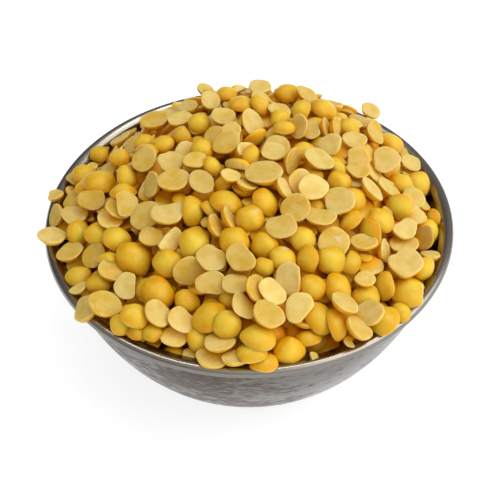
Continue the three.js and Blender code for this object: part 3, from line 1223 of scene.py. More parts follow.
MIDDLE = (
    Landmark(230, 177, 4.7, Side.FACE, 48, 70, shade=0.9),
    Landmark(264, 176, 8.6, Side.FACE, 52, 95),
    Landmark(246, 187, 4.7, Side.FACE, 68, 70, shade=0.9),
    Landmark(283, 190, 5.4, Side.FACE, 64, 30),
    Landmark(267, 201, 6.6, Side.SKIN, 42, 35, warmth=0.9),
    Landmark(228, 201, 8.0, Side.SKIN, 58, 65),
    Landmark(212, 208, 5.4, Side.SKIN, 62, 50),
    Landmark(296, 209, 6.6, Side.FACE, 18, 120),
    Landmark(214, 227, 5.6, Side.FACE, 64, 25),
    Landmark(228, 220, 5.8, Side.FACE, 70, 25),
    Landmark(250, 218, 6.6, Side.SKIN, 8, 90, husk=0.44),
    Landmark(282, 228, 6.8, Side.FACE, 26, 110, Kind.NOTCHED, 100),
    Landmark(303, 239, 6.0, Side.SKIN, 12, 60),
    Landmark(234, 240, 6.4, Side.SKIN, 15, 90, warmth=0.9),
    Landmark(265, 246, 6.3, Side.SKIN, 8, 60),
    Landmark(211, 260, 6.6, Side.FACE, 28, 80, Kind.NOTCHED, 60),
    Landmark(241, 259, 7.0, Side.FACE, 22, 110, Kind.SQUARED, 40),
    Landmark(284, 257, 6.4, Side.SKIN, 34, 60, husk=0.42),
    Landmark(334, 243, 6.9, Side.FACE, 14, 100, husk=0.45, shade=0.8),
    Landmark(306, 259, 6.1, Side.SKIN, 38, 180),
    Landmark(332, 260, 6.4, Side.SKIN, 10, 60, husk=0.4, warmth=0.2),
    Landmark(264, 268, 4.8, Side.SKIN, 25, 270),
    Landmark(236, 286, 6.2, Side.FACE, 45, 90),
    Landmark(212, 284, 7.0, Side.FACE, 12, 90, Kind.SQUARED, 265),
    Landmark(313, 287, 5.8, Side.SKIN, 12, 60, warmth=0.7),
    Landmark(289, 279, 7.2, Side.FACE, 14, 180, Kind.SQUARED, 0, warmth=0.1),
    Landmark(341, 288, 7.2, Side.SKIN, 38, 20),
    Landmark(254, 290, 6.2, Side.FACE, 52, 25, warmth=1.0),
    Landmark(271, 293, 6.4, Side.FACE, 28, 45, Kind.SQUARED, 45, shade=0.9, warmth=0.1),
)
FRONT = (
    Landmark(137, 330, 4.6, Side.SKIN, 45, 90, shade=0.1, warmth=0.9),
    Landmark(174, 353, 5.0, Side.SKIN, 40, 90, shade=0.1, warmth=0.8),
    Landmark(154, 345, 4.4, Side.FACE, 55, 80, Kind.BROKEN, 120, husk=0.5),
    Landmark(304, 322, 5.6, Side.FACE, 58, 80, warmth=0.9),
    Landmark(297, 334, 5.6, Side.SKIN, 25, 70, warmth=0.9),
    Landmark(314, 340, 5.4, Side.SKIN, 35, 110, warmth=0.8),
    Landmark(79, 290, 4.4, Side.FACE, 45, 100, Kind.BROKEN, 120, shade=0.3),
    Landmark(58, 216, 5.4, Side.FACE, 50, 170, shade=0.3, warmth=0.8),
    Landmark(156, 315, 6.2, Side.FACE, 44, 45),
    Landmark(122, 323, 5.8, Side.SKIN, 32, 90),
    Landmark(136, 315, 6.6, Side.SKIN, 42, 50, husk=0.44),
    Landmark(152, 332, 4.4, Side.SKIN, 30, 90, shade=0.2),
    Landmark(175, 338, 5.9, Side.FACE, 36, 90, shade=0.8),
    Landmark(181, 322, 6.3, Side.FACE, 38, 60, Kind.SQUARED, 50, shade=0.8),
    Landmark(190, 355, 3.2, Side.FACE, 40, 90, Kind.NOTCHED, 80),
    Landmark(200, 339, 5.6, Side.SKIN, 26, 20),
    Landmark(242, 308, 6.3, Side.FACE, 44, 45, Kind.SQUARED, 45),
    Landmark(207, 315, 7.8, Side.SKIN, 46, 125, warmth=1.0),
    Landmark(299, 308, 6.9, Side.FACE, 18, 120, Kind.SQUARED, 320, shade=0.8),
    Landmark(267, 316, 7.0, Side.FACE, 36, 55),
    Landmark(343, 305, 6.5, Side.FACE, 60, 60),
    Landmark(220, 344, 6.5, Side.FACE, 50, 95),
    Landmark(227, 324, 6.2, Side.SKIN, 8, 60),
    Landmark(340, 324, 7.0, Side.SKIN, 58, 15),
    Landmark(321, 317, 7.5, Side.SKIN, 38, 40),
    Landmark(308, 336, 6.0, Side.SKIN, 60, 100),
    Landmark(383, 319, 7.0, Side.SKIN, 42, 130),
    Landmark(371, 315, 6.7, Side.FACE, 46, 125, husk=0.35),
    Landmark(402, 312, 4.6, Side.SKIN, 22, 60),
    Landmark(357, 330, 6.4, Side.FACE, 54, 48),
    Landmark(259, 335, 7.6, Side.SKIN, 48, 80),
    Landmark(252, 350, 6.8, Side.SKIN, 58, 90),
    Landmark(264, 361, 6.2, Side.SKIN, 64, 90),
    Landmark(289, 351, 6.6, Side.SKIN, 5, 90, shade=0.8),
    Landmark(322, 345, 7.1, Side.SKIN, 48, 105),
    Landmark(235, 360, 5.6, Side.FACE, 56, 90),
    Landmark(212, 360, 6.8, Side.FACE, 50, 90),
    Landmark(314, 358, 2.8, Side.FACE, 35, 60, Kind.BROKEN, 200),
    Landmark(348, 343, 3.0, Side.FACE, 35, 60, Kind.BROKEN, 30),
)
LANDMARKS = (*BACK, *LEFT, *RIGHT, *MIDDLE, *FRONT)


@dataclass
class Sight:
    """How near the camera the landmarks come, on a coarse grid over the picture."""

    view: View
    cell: int = 3  # pixels
    slack: float = 0.4 * MM
    nearest: np.ndarray = field(init=False)

    def __post_init__(self) -> None:
        """Starts with no landmarks."""
        count = PICTURE // self.cell + 1
        self.nearest = np.full((count, count), np.inf)

    def _cells(self, points: np.ndarray) -> tuple[tuple[np.ndarray, np.ndarray], np.ndarray]:
        """Cells in which points show, and how far ahead they are."""
        columns, rows, ahead = self.view.seen(points)
        last = len(self.nearest) - 1
        cells = tuple(np.clip(axis / self.cell, 0, last).astype(int) for axis in (columns, rows))
        return cells, ahead

    def keep(self, points: np.ndarray) -> None:
        """Marks where a landmark shows."""
        cells, ahead = self._cells(points)
        np.minimum.at(self.nearest, cells, ahead)

    def hidden(self, points: np.ndarray) -> float:
        """How much of a cloud of points would lie before the landmarks, as a share."""
        cells, ahead = self._cells(points)
        nearest = self.nearest[cells]
        return float(((ahead < nearest - self.slack) & np.isfinite(nearest)).mean())


@dataclass
class Shingles:
    """Landmarks that overlap in the picture, moved along their lines of sight to keep them out of each other.

    Of two that overlap, the one laid later is the nearer, unless the other order needs much less room. The
    moves are a compromise, so some may still cut into each other.
    """

    view: View
    bowl: Bowl
    cell: int = 2  # pixels
    slack: float = 0.3 * MM
    strict: float = 0.82  # share of the cells in which two landmarks may not cut into each other
    trust: float = 0.03 * MM  # how far a pair is moved apart rather than change its order, a cell of overlap
    settled_from: float = 0.8  # share of the rounds after which nothing is pulled back
    rounds: int = 300
    pull: float = 0.03  # how strongly each goes back to where it started, in a round
    step: float = 0.2 * MM
    dip: float = 0.05 * MM  # how far one may dip into the bowl when it is moved back
    furthest: float = 5 * MM
    highest: float = 53.4 * MM  # how far up they may reach
    foremost: float = -46.2 * MM  # how far forward they may reach

    def spread(self, clouds: list[np.ndarray]) -> np.ndarray:
        """Finds how far each has to move.

        Args:
            clouds: points all over each landmark, from the lowest one up.

        Returns:
            The move of each, away from the camera.
        """
        pairs = self._pairs([self._sheet(cloud) for cloud in clouds])
        least, most = np.array([self._room(cloud) for cloud in clouds]).T
        moves = np.clip(np.zeros(len(clouds)), least, most)
        for number in range(self.rounds):
            if number < self.rounds * self.settled_from:
                moves *= 1 - self.pull
            for behind, before, need in pairs:
                lack = need - (moves[behind] - moves[before])
                if lack > 0:
                    moves[behind] += lack / 2
                    moves[before] -= lack / 2
            moves = np.clip(moves, least, most)
        return moves

    def _pairs(self, sheets: list[tuple[np.ndarray, np.ndarray, np.ndarray]]) -> list[tuple[int, int, float]]:
        """Finds which landmarks overlap, and how far apart in depth they have to be.

        Args:
            sheets: the cells of each landmark, with its nearest and furthest depth in each.

        Returns:
            For each pair the one behind, the one before it, and the room they need.
        """
        pairs = []
        for high, (cells, near, far) in enumerate(sheets):
            for low, (others, its_near, its_far) in enumerate(sheets[:high]):
                _, mine, its = np.intersect1d(cells, others, assume_unique=True, return_indices=True)
                if len(mine) < 2:
                    continue
                laid = float(np.quantile(far[mine] - its_near[its], self.strict)) - self.slack
                turned = float(np.quantile(its_far[its] - near[mine], self.strict)) - self.slack
                if turned + self.trust * len(mine) < laid:
                    pairs.append((high, low, turned))
                else:
                    pairs.append((low, high, laid))
        return pairs

    def _sheet(self, points: np.ndarray) -> tuple[np.ndarray, np.ndarray, np.ndarray]:
        """Cells in which a cloud of points shows, and its nearest and furthest depth in each."""
        columns, rows, ahead = self.view.seen(points)
        codes = (columns / self.cell).astype(int) * PICTURE + (rows / self.cell).astype(int)
        cells, which = np.unique(codes, return_inverse=True)
        near, far = np.full(len(cells), np.inf), np.full(len(cells), -np.inf)
        np.minimum.at(near, which, ahead)
        np.maximum.at(far, which, ahead)
        return cells, near, far

    def _room(self, points: np.ndarray) -> tuple[float, float]:
        """How far a cloud of points can move before it leaves the dish or meets the bowl.

        Args:
            points: the cloud, where it lies.

        Returns:
            The least and the greatest move away from the camera.
        """
        radii = np.linspace(0, 60 * MM, 601)
        tops = self.bowl.rim_heights(radii)
        way = points.mean(axis=0) - np.array(self.view.place)
        way /= np.linalg.norm(way)
        least = max(-self.furthest, (self.highest - points[:, 2].max()) / way[2])
        least = max(least, (self.foremost - points[:, 1].min()) / way[1])
        for move in np.arange(self.furthest, least, -self.step):
            moved = points + way * move
            held = np.interp(np.hypot(moved[:, 0], moved[:, 1]), radii, tops)
            if (moved[:, 2] > held - self.dip).all():
                return least, float(move)
        return least, least


@dataclass
class HeightMap:
    """The top of what has been laid, as heights on a square grid."""

    half: float = 50 * MM
    cell: float = 0.45 * MM
    heights: np.ndarray | None = None

    def __post_init__(self) -> None:
        """Starts with nothing laid, if no heights are given."""
        if self.heights is None:
            count = int(2 * self.half / self.cell) + 1
            self.heights = np.full((count, count), -1.0)

    def centres(self) -> tuple[np.ndarray, np.ndarray]:
        """Middles of all cells.

        Returns:
            Their places along +X and +Y.
        """
        steps = (np.arange(self.heights.shape[0]) + 0.5) * self.cell - self.half
        return np.meshgrid(steps, steps, indexing="ij")

    def cells(self, points: np.ndarray) -> tuple[np.ndarray, np.ndarray]:
        """Cells that points lie over.

        Args:
            points: places, with X and Y first along the last axis.

        Returns:
            The cells' numbers along +X and +Y.
        """
        numbers = ((points[..., :2] + self.half) / self.cell).astype(int)
        numbers = np.clip(numbers, 0, self.heights.shape[0] - 1)
        return numbers[..., 0], numbers[..., 1]

    def rest(self, points: np.ndarray) -> np.ndarray:
        """How high clouds of points have to be lifted to clear what is there.

        Args:
            points: clouds of points round height 0, as (cloud, point, axis).

        Returns:
            The lift of each cloud.
        """
        return (self.heights[self.cells(points)] - points[..., 2]).max(axis=-1)

    def lay(self, points: np.ndarray) -> None:
        """Raises the map to a cloud of points.

        Args:
            points: the cloud, where it lies.
        """
        np.maximum.at(self.heights, self.cells(points), points[:, 2])

    def smoothed(self, reach: int) -> "HeightMap":
        """The mean of the map round each cell.

        Args:
            reach: how many cells it goes to each side.

        Returns:
            A smoother map.
        """
        span = range(-reach, reach + 1)
        rows = sum(np.roll(self.heights, step, axis=0) for step in span) / len(span)
        means = sum(np.roll(rows, step, axis=1) for step in span) / len(span)
        return HeightMap(self.half, self.cell, means)

    def cut(self, points: np.ndarray, slack: float = 0.25 * MM) -> float:
        """How much of a cloud of points lies below the map, as a share.

        Args:
            points: the cloud, where it lies.
            slack: how far below is let pass.

        Returns:
            The share.
        """
        return float((points[:, 2] < self.heights[self.cells(points)] - slack).mean())


@dataclass
class Settling:
    """Lets the loose splits settle against each other, the landmarks and the bowl, as rigid bodies."""

    enlarged: float = 100.0  # the solver works best on bodies about a metre across
    frames: int = 16
    steps: int = 8
    friction: float = 1.0
    margin: float = 0.006  # at the enlarged size
    gravity: float = 3.0
    damping: tuple[float, float] = (0.9, 0.95)  # of the moving and of the turning
    lost_beyond: float = 43 * MM
    solver_rounds: int = 12
    hull_sides: int = 11
    hull_rings: tuple[float, ...] = (0.86, 0.5)

    def run(self, splits: list[Split], forms: list[SplitForm], still: list[bpy.types.Mesh]) -> list[Split]:
        """Settles the splits.

        Args:
            splits: the splits as laid.
            forms: their forms.
            still: meshes that they lie on.

        Returns:
            The splits that stay in the bowl, at rest.
        """
        scene = bpy.context.scene
        scene.gravity = (0, 0, -self.gravity)
        bpy.ops.rigidbody.world_add()
        world = scene.rigidbody_world
        world.substeps_per_frame = self.steps
        world.solver_iterations = self.solver_rounds
        world.point_cache.frame_end = self.frames + 1
        group = bpy.data.collections.new("settling")
        scene.collection.children.link(group)
        world.collection = group
        plain = [form.coarse(self.hull_sides, self.hull_rings) for form in forms]
        hulls = [self._mesh(*form.mesh()[:2]) for form in plain]
        loose = [self._body(group, hulls[s.form], s.place, s.turn) for s in splits]
        self._enter(loose, "ACTIVE")
        for split, body in zip(splits, loose):
            rigid = body.rigid_body
            rigid.kinematic = split.named
            rigid.collision_shape = "CONVEX_HULL"
            rigid.friction = self.friction
            rigid.restitution = 0.0
            rigid.linear_damping, rigid.angular_damping = self.damping
            rigid.use_margin = True
            rigid.collision_margin = self.margin
        grown = []
        for mesh in still:
            mesh = mesh.copy()
            mesh.transform(Matrix.Scale(self.enlarged, 4))
            grown.append(self._body(group, mesh, Vector(), Quaternion()))
        self._enter(grown, "PASSIVE")
        for body in grown:
            body.rigid_body.collision_shape = "MESH"
            body.rigid_body.friction = self.friction
            body.rigid_body.use_margin = True
            body.rigid_body.collision_margin = self.margin
        for frame in range(1, self.frames + 1):
            scene.frame_set(frame)
        seen = bpy.context.evaluated_depsgraph_get()
        kept = []
        for split, body in zip(splits, loose):
            place, turn, _ = body.evaluated_get(seen).matrix_world.decompose()
            if split.named or place.xy.length / self.enlarged < self.lost_beyond:
                kept.append(replace(split, place=place / self.enlarged, turn=turn))
        for body in [*loose, *grown]:
            bpy.data.objects.remove(body)
        bpy.ops.rigidbody.world_remove()
        bpy.data.collections.remove(group)
        scene.frame_set(1)
        return kept

    def _mesh(self, points: np.ndarray, faces: list[tuple[int, ...]]) -> bpy.types.Mesh:
        """An enlarged mesh of points and faces."""
        mesh = bpy.data.meshes.new("hull")
        mesh.from_pydata((points * self.enlarged).tolist(), [], faces)
        return mesh

    def _body(
        self, group: bpy.types.Collection, mesh: bpy.types.Mesh, place: Vector, turn: Quaternion
    ) -> bpy.types.Object:
        """An object of the solver's world, at a place and turn given at true size."""
        body = bpy.data.objects.new("body", mesh)
        body.rotation_mode = "QUATERNION"
        body.location = place * self.enlarged
        body.rotation_quaternion = turn
        group.objects.link(body)
        return body

    @staticmethod
    def _enter(bodies: list[bpy.types.Object], kind: str) -> None:
        """Makes rigid bodies of objects.

        Args:
            bodies: the objects.
            kind: "ACTIVE" for those that move and "PASSIVE" for those that don't.
        """
        for other in bpy.context.scene.objects:
            other.select_set(False)
        for body in bodies:
            body.select_set(True)
        bpy.context.view_layer.objects.active = bodies[0]
        bpy.ops.rigidbody.objects_add(type=kind)


FORM_COUNTS = {Kind.WHOLE: 12, Kind.NOTCHED: 8, Kind.SQUARED: 8, Kind.BROKEN: 4, Kind.CHIP: 3}
KIND_SHARES = {Kind.WHOLE: 0.47, Kind.NOTCHED: 0.22, Kind.SQUARED: 0.22, Kind.BROKEN: 0.07, Kind.CHIP: 0.02}


@dataclass
class Heap:
    """The heaped splits: a core, a bed of splits partly sunk in it, and loose splits on top."""

    bowl: Bowl
    view: View
    form: HeapForm = field(default_factory=HeapForm)
    seed: int = 7
    core_depth: float = 6.4 * MM
    gap: float = 0.25 * MM  # between the core and the bowl
    wall_gap: float = 0.8 * MM  # between the middles of the splits and the wall, at least
    clearance: float = 0.05 * MM  # between a split and what it is laid on
    bed_depth: float = 5.2 * MM
    bed_spacing: float = 4.4 * MM
    bed_reach: float = 36.5 * MM
    spots_drawn: int = 28  # places drawn for a split, of which the lowest are tried
    spots_tried: int = 7
    turns_tried: int = 7
    patience: int = 110  # misses in a row after which filling ends
    top: float = 0.9 * MM  # how far a split's middle may lie above the mean surface
    highest: tuple[float, float] = (3.0 * MM, 1.1 * MM)  # most that a point stands above it, front and back
    crest: float = 18 * MM  # distance behind the axis at which the heap turns away from the camera
    edge_from: float = 36 * MM  # distance from the axis beyond which splits may lean on the rim
    edge_rise: float = 1.0 * MM  # how much higher they may lie there
    named_lift: float = 0.2 * MM  # how far the middles of the landmarks lie above it at first
    painted_shade_depth: float = 4.2 * MM  # how far below the splits round about a point the painted shade is deepest
    spread: float = 0.35 * MM  # how uneven the heights are
    usual_tilt: float = 0.42
    slope_share: float = 0.6  # how far splits follow the slope
    face_up_share: float = 0.56
    husk_share: float = 0.012
    husk_left: tuple[float, float] = (0.4, 0.7)  # how much husk those splits keep
    most_hidden: float = 0.09
    most_cut: float = 0.04
    core_sides: int = 120
    core_rings: int = 26
    coarse_sides: int = 14  # of the bed's splits
    coarse_rings: tuple[float, ...] = (0.88, 0.55)
    smooth_cells: int = 4  # how far round each cell the cover is smoothed to measure the depth of the painted shade from
    mean_length: float = 6.25  # millimetres
    length_spread: float = 0.5
    common_forms: int = field(init=False)  # how many of the forms are not a landmark's own
    forms: list[SplitForm] = field(default_factory=list)
    clouds: list[np.ndarray] = field(default_factory=list)
    ground: HeightMap = field(default_factory=HeightMap)  # without the landmarks
    cover: HeightMap = field(default_factory=HeightMap)  # with them
    undersides: HeightMap = field(default_factory=HeightMap)  # of the landmarks, upside down
    sight: Sight = field(init=False)

    def __post_init__(self) -> None:
        """Draws the forms that the splits come in."""
        rng = np.random.default_rng(self.seed)
        self.sight = Sight(self.view)
        for kind, count in FORM_COUNTS.items():
            for _ in range(count):
                self._add_form(kind, rng.normal(self.mean_length, self.length_spread) * MM, rng)
        self.common_forms = len(self.forms)

    def _add_form(self, kind: Kind, length: float, rng: np.random.Generator) -> int:
        """Draws one form.

        Args:
            kind: how much of the half pea is left.
            length: its longest way across when whole.
            rng: where the draws come from.

        Returns:
            The form's number.
        """
        seed = int(rng.integers(1_000_000))
        width = rng.uniform(0.86, 0.99)
        thick = length * rng.normal(0.395, 0.02)
        full = rng.uniform(2.3, 3.0)
        notch, cut = rng.uniform(0, 0.03), 2.0
        if kind is Kind.NOTCHED:
            notch = rng.uniform(0.1, 0.24)
        elif kind is Kind.SQUARED:
            cut = rng.uniform(0.5, 0.76)
        elif kind is Kind.BROKEN:
            cut = rng.uniform(0.1, 0.4)
        elif kind is Kind.CHIP:
            cut, length, thick = rng.uniform(0.2, 0.7), length * rng.uniform(0.4, 0.6), thick * 0.55
        form = SplitForm(kind, seed, length, width, thick, notch, cut, full)
        self.forms.append(form)
        self.clouds.append(form.cloud())
        return len(self.forms) - 1

    def _draw_form(self, rng: np.random.Generator) -> int:
        """Picks one of the common forms by how common its kind is."""
        kind = rng.choice(list(KIND_SHARES), p=list(KIND_SHARES.values()))
        common = self.forms[: self.common_forms]
        return int(rng.choice([i for i, form in enumerate(common) if form.kind is kind]))

    def _draw_look(self, rng: np.random.Generator) -> tuple[float, float, float]:
        """Draws a split's shade, warmth and husk."""
        husk = rng.uniform(*self.husk_left) if rng.random() < self.husk_share else 0.0
        return float(rng.random()), float(rng.random()), float(husk)

    def _draw_turn(self, x: float, y: float, rng: np.random.Generator) -> Quaternion:
        """Draws how a split lies: about along the surface, on either side.

        Args:
            x: its place along +X.
            y: its place along +Y.
            rng: where the draws come from.

        Returns:
            The turn from lying flat side down.
        """
        upright = Vector((0, 0, 1))
        stand = upright.rotation_difference(upright.lerp(self.form.normal(x, y), self.slope_share))
        toward = rng.uniform(0, 2 * math.pi)
        lean = Quaternion((math.cos(toward), math.sin(toward), 0), abs(rng.normal(0, self.usual_tilt)))
        spin = Quaternion((0, 0, 1), rng.uniform(0, 2 * math.pi))
        flip = Quaternion((1, 0, 0), math.pi if rng.random() < self.face_up_share else 0)
        return stand @ lean @ spin @ flip

    def _start(self, splits: list[Split]) -> None:
        """Clears the height map and lays splits on it that are there already."""
        x, y = self.ground.centres()
        radius = np.hypot(x, y)
        held = self.bowl.rim_heights(radius)
        core = self.form.height(x, y) - self.core_depth
        self.ground.heights = np.where(radius < self.form.inner_radius, np.maximum(core, held), held)
        self.cover.heights = self.ground.heights.copy()
        self.undersides = HeightMap()
        self.sight = Sight(self.view)
        for split in splits:
            self._keep(split)

    def _keep(self, split: Split) -> Split:
        """Lays a split on the height maps, and marks where it shows if it is a landmark."""
        points = split.points(self.clouds[split.form])
        self.cover.lay(points)
        if split.named:
            self.undersides.lay(points * (1, 1, -1))
            self.sight.keep(points)
        else:
            self.ground.lay(points)
        return split

    def bed(self, rng: np.random.Generator) -> list[Split]:
        """Splits spaced evenly over the core and partly sunk in it.

        Args:
            rng: where the draws come from.

        Returns:
            The splits.
        """
        count = int((self.bed_reach / self.bed_spacing) ** 2 * math.pi)
        splits = []
        for number in range(count):
            out = self.bed_reach * math.sqrt((number + 0.5) / count)
            x, y = out * math.cos(number * GOLDEN_ANGLE), out * math.sin(number * GOLDEN_ANGLE)
            surface = float(self.form.height(np.array(x), np.array(y)))
            height = surface - self.bed_depth + rng.normal(0, self.spread)
            turn = self._draw_turn(x, y, rng)
            splits.append(Split(self._draw_form(rng), Vector((x, y, height)), turn, self._draw_look(rng)))
        return splits

    def landmarks(self, rng: np.random.Generator) -> list[Split]:
        """Places the landmarks, each on its own line of sight.

        Args:
            rng: where the draws come from.

        Returns:
            The splits.
        """
        splits = []
        for mark in LANDMARKS:
            form = self._add_form(mark.kind, mark.size * MM, rng)
            place = self.view.met(mark.column, mark.row, self.form, self.named_lift)
            warmth = float(rng.random())
            draw = (mark.shade, warmth if mark.warmth is None else mark.warmth, mark.husk)
            splits.append(Split(form, place, mark.turn(self.view), draw, named=True))
        moves = Shingles(self.view, self.bowl).spread([s.points(self.clouds[s.form]) for s in splits])
        for split, mark, move in zip(splits, LANDMARKS, moves):
            split.place = split.place + self.view.line(mark.column, mark.row) * float(move)
            self._keep(split)
        return splits

    def fill(self, under: bool, rng: np.random.Generator, least: float = 0.0) -> list[Split]:
        """Lays splits one by one where the heap is low, each the way that it lies lowest, until few more fit.

        Args:
            under: whether they may slip under the landmarks. Otherwise they lie on top of them.
            rng: where the draws come from.
            least: how far from the axis they lie at least.

        Returns:
            The splits.
        """
        reach = (least, self.form.inner_radius - self.wall_gap)
        held = self.ground if under else self.cover
        splits: list[Split] = []
        misses = 0
        while misses < self.patience:
            form = self._draw_form(rng)
            spots = self._low_spots(reach, held, under, rng)
            tries = [(a, b, self._draw_turn(a, b, rng)) for a, b in spots for _ in range(self.turns_tried)]
            turned = np.stack([self.clouds[form] @ np.array(turn.to_matrix()).T for _, _, turn in tries])
            places = np.array([(a, b, 0) for a, b, _ in tries])
            turned = turned + places[:, None]
            lift = held.rest(turned)
            over = lift - self.form.height(places[:, 0], places[:, 1])
            rise = np.where(np.hypot(places[:, 0], places[:, 1]) > self.edge_from, self.edge_rise, 0.0)
            over = over - rise
            limit = self.top + rng.uniform(-self.spread, self.spread)
            laid = None
            for best in np.argsort(over):
                if over[best] > limit:
                    break
                lifted = turned[best] + np.array([0, 0, lift[best]])
                if self._stands_out(lifted):
                    continue
                if under and self.undersides.cut(lifted * (1, 1, -1)) > self.most_cut:
                    continue
                if self.sight.hidden(lifted) <= self.most_hidden:
                    a, b, turn = tries[best]
                    place = Vector((a, b, lift[best] + self.clearance))
                    laid = Split(form, place, turn, self._draw_look(rng))
                    break
            if laid is None:
                misses += 1
                continue
            misses = 0
            splits.append(self._keep(laid))
        return splits

    def _stands_out(self, points: np.ndarray) -> bool:
        """Whether any point of a split is too high above the mean surface."""
        highest = np.interp(points[:, 1], (0, self.crest), self.highest)
        return bool((points[:, 2] - self.form.height(points[:, 0], points[:, 1]) > highest).any())

    def _low_spots(
        self, reach: tuple[float, float], held: HeightMap, under: bool, rng: np.random.Generator
    ) -> list[tuple[float, float]]:
        """Draws places and keeps those where the heap lacks most.

        Args:
            reach: how far from the axis a place must and may be.
            held: what has been laid.
            under: whether the landmarks' undersides are the top of the heap.
            rng: where the draws come from.

        Returns:
            The places.
        """
        toward = rng.uniform(0, 2 * np.pi, self.spots_drawn)
        out = np.sqrt(rng.uniform(reach[0] ** 2, reach[1] ** 2, self.spots_drawn))
        places = np.column_stack([out * np.cos(toward), out * np.sin(toward)])
        cells = held.cells(places)
        tops = self.form.height(places[:, 0], places[:, 1])
        if under:
            tops = np.minimum(tops, -self.undersides.heights[cells])
        return [tuple(places[i]) for i in np.argsort(held.heights[cells] - tops)[: self.spots_tried]]

    def core_mesh(self) -> bpy.types.Mesh:
        """The core: it fills the bowl up to the bed of splits.

        Returns:
            The closed mesh.
        """
        sides, rings = self.core_sides, self.core_rings
        around = np.linspace(0, 2 * np.pi, sides, endpoint=False)
        way = np.stack([np.cos(around), np.sin(around)], axis=1)
        edge = self.form.inner_radius - self.gap
        heights = self.form.height(*(way * edge).T) - self.core_depth
        depths = [self.bowl.wall(share, self.bowl.sheet + self.gap) for share in np.linspace(0, 1, 20)]
        low = float(heights.min()) - 1.0 * MM
        below = [p for p in depths if p[1] < low]
        body = [np.column_stack([way * r, np.full(sides, z)]) for r, z in below]
        fits = np.interp(heights, [z for _, z in depths], [r for r, _ in depths])
        for ring in range(rings):
            share = 1 - ring / rings
            plan = way * (fits * share)[:, None]
            body.append(np.column_stack([plan, self.form.height(*plan.T) - self.core_depth]))
        top = float(self.form.height(np.array(0.0), np.array(0.0))) - self.core_depth
        points = np.concatenate([*body, [[0, 0, below[0][1]], [0, 0, top]]])
        faces = ring_faces(len(body), sides)
        faces += cap_faces(len(points) - 2, 0, sides, outward=False)
        faces += cap_faces(len(points) - 1, sides * (len(body) - 1), sides, outward=True)
        mesh = bpy.data.meshes.new("heap_core")
        mesh.from_pydata(points.tolist(), [], faces)
        return mesh

    def build(self, bowl_mesh: bpy.types.Mesh) -> list[bpy.types.Object]:
        """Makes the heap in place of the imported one.

        Args:
            bowl_mesh: the bowl, which holds the splits while they settle.

        Returns:
            The core, the bed, and one piece for each kind of split.
        """
        rng = np.random.default_rng(self.seed + 1)
        core = self.core_mesh()
        bed = self.bed(rng)
        self._start(bed)
        loose = self.landmarks(rng)
        loose += self.fill(True, rng, self.edge_from)
        loose += self.fill(True, rng)
        log.info("laid %d splits on a bed of %d", len(loose), len(bed))
        loose += self.fill(False, rng)
        log.info("%d splits with those on top", len(loose))
        bed_mesh = self._joined("heap_bed", bed, coarse=True)
        loose = Settling().run(loose, self.forms, [core, bowl_mesh, bed_mesh])
        loose = [s for s in loose if s.named or not self._stands_out(s.points(self.clouds[s.form]))]
        log.info("%d splits settled", len(loose))
        self._start(bed + loose)
        more = self.fill(True, rng, self.edge_from) + self.fill(True, rng) + self.fill(False, rng)
        log.info("%d splits more", len(more))
        loose += more
        material = SplitPeaFinish().material()
        pieces = [new_piece("heap_core", core, CoreFinish().material())]
        pieces.append(new_piece("heap_bed", bed_mesh, material))
        for kind in Kind:
            chosen = [s for s in loose if self.forms[s.form].kind is kind]
            pieces.append(new_piece(kind.value, self._joined(kind.value, chosen), material))
        for piece in pieces:
            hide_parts("heap")
            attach(piece, "root")
        return pieces

    def _joined(self, name: str, splits: list[Split], coarse: bool = False) -> bpy.types.Mesh:
        """Joins splits into one mesh, with each point's own zone, place on the split, and draw.

        Args:
            name: the mesh's name.
            splits: the splits.
            coarse: whether they need few faces.

        Returns:
            The mesh.
        """
        made = {}
        for number in {split.form for split in splits}:
            form = self.forms[number]
            made[number] = (form.coarse(self.coarse_sides, self.coarse_rings) if coarse else form).mesh()
        tops = self.cover.smoothed(self.smooth_cells)
        points, faces, zones, places, draws = [], [], [], [], []
        first = 0
        for number, split in enumerate(splits):
            shape, shape_faces, zone = made[split.form]
            lying = split.points(shape)
            points.append(lying)
            faces += [tuple(corner + first for corner in face) for face in shape_faces]
            # depth below the smoothed top of the heap, which the finish paints as shade
            below = (tops.heights[tops.cells(lying)] - lying[:, 2]) / self.painted_shade_depth
            zones.append(np.column_stack([zone, np.clip(below, 0, 1)]))
            places.append(shape + number * GRAIN_STEP)
            draws.append(np.broadcast_to(split.draw, shape.shape))
            first += len(shape)
        mesh = bpy.data.meshes.new(name)
        mesh.from_pydata(np.concatenate(points).tolist(), [], faces)
        for attribute, rows in (("zone", zones), ("grain", places), ("draw", draws)):
            values = np.concatenate(rows).astype(np.float32).ravel()
            mesh.attributes.new(attribute, "FLOAT_VECTOR", "POINT").data.foreach_set("vector", values)
        return mesh


# ---------------------------------------------------------------- the studio


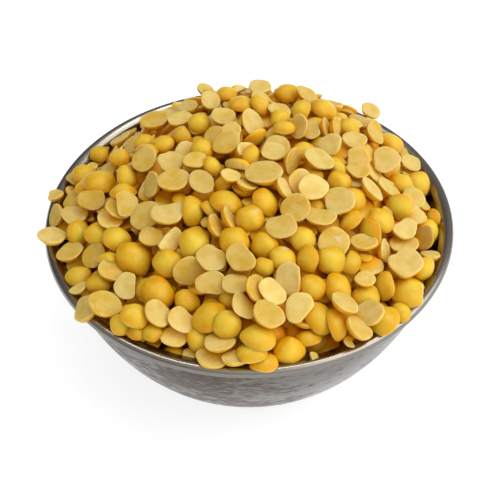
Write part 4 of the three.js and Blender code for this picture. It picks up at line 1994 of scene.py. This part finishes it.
@dataclass
class Studio:
    """A lit white table, with the key light high on the right and a narrow strip light overhead."""

    floor_half: float = 1.5
    floor_drop: float = 0.05 * MM  # how far the floor lies below the foot
    look_at: tuple[float, float, float] = (0, 0, 0.03)
    key_place: tuple[float, float, float] = (0.85, -0.1, 0.85)
    key_power: float = 6.4
    key_size: tuple[float, float] = (1.2, 1.2)
    strip_place: tuple[float, float, float] = (0.0, 0.25, 1.0)
    strip_power: float = 3.0
    strip_size: tuple[float, float] = (1.0, 0.2)
    sky: float = 1.2
    horizon: float = 0.9
    left: float = 0.37  # how bright the sky is on the left, as a share
    behind: float = 0.3  # how bright the sky is behind the dish, as a share

    def build(self) -> None:
        """Makes the floor, the lights and the sky."""
        half = self.floor_half
        mesh = bpy.data.meshes.new("floor")
        corners = [(-half, -half, 0), (half, -half, 0), (half, half, 0), (-half, half, 0)]
        mesh.from_pydata(corners, [], [(0, 1, 2, 3)])
        floor = new_piece("floor", mesh, FloorFinish().material())
        floor.location.z = -self.floor_drop
        self._light("key", self.key_place, self.key_power, self.key_size)
        self._light("strip", self.strip_place, self.strip_power, self.strip_size)
        self._sky()
        bpy.context.scene.view_settings.view_transform = "Standard"

    def _light(
        self, name: str, place: tuple[float, float, float], power: float, size: tuple[float, float]
    ) -> None:
        """Adds a soft light that looks at the heap.

        Args:
            name: the light's name.
            place: where it hangs.
            power: its power in watts.
            size: its length and width.
        """
        data = bpy.data.lights.new(name, "AREA")
        data.energy = power
        data.shape = "RECTANGLE"
        data.size, data.size_y = size
        light = bpy.data.objects.new(name, data)
        light.location = place
        light.rotation_mode = "QUATERNION"
        light.rotation_quaternion = (Vector(self.look_at) - light.location).to_track_quat("-Z", "Y")
        bpy.context.scene.collection.objects.link(light)

    def _sky(self) -> None:
        """Makes the light from all round: brightest overhead."""
        world = bpy.data.worlds.new("sky")
        world.use_nodes = True
        tree = world.node_tree
        tree.nodes.clear()
        up = add_node(tree, "ShaderNodeTexCoord").outputs["Generated"]
        right, back, height = add_node(tree, "ShaderNodeSeparateXYZ", {0: up}).outputs
        strength = ranged(tree, height, (0.0, 0.8), (self.horizon, self.sky))
        strength = computed(tree, "MULTIPLY", strength, ranged(tree, back, (-0.1, 0.55), (1, self.behind)))
        strength = computed(tree, "MULTIPLY", strength, ranged(tree, right, (-0.7, 0.7), (self.left, 1)))
        background = add_node(tree, "ShaderNodeBackground", {"Color": (1, 1, 1, 1), "Strength": strength})
        add_node(tree, "ShaderNodeOutputWorld", {"Surface": background.outputs[0]})
        bpy.context.scene.world = world


# ---------------------------------------------------------------- all of it


def main() -> None:
    """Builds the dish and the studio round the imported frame."""
    logging.basicConfig(level=logging.INFO, format="%(name)s: %(message)s")
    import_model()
    view = View()
    view.camera()
    bowl = Bowl()
    steel = bowl.build()
    log.info("%s: %d faces", steel.name, len(steel.data.polygons))
    for piece in Heap(bowl, view).build(steel.data):
        log.info("%s: %d faces", piece.name, len(piece.data.polygons))
    Studio().build()


if __name__ == "__main__":
    main()
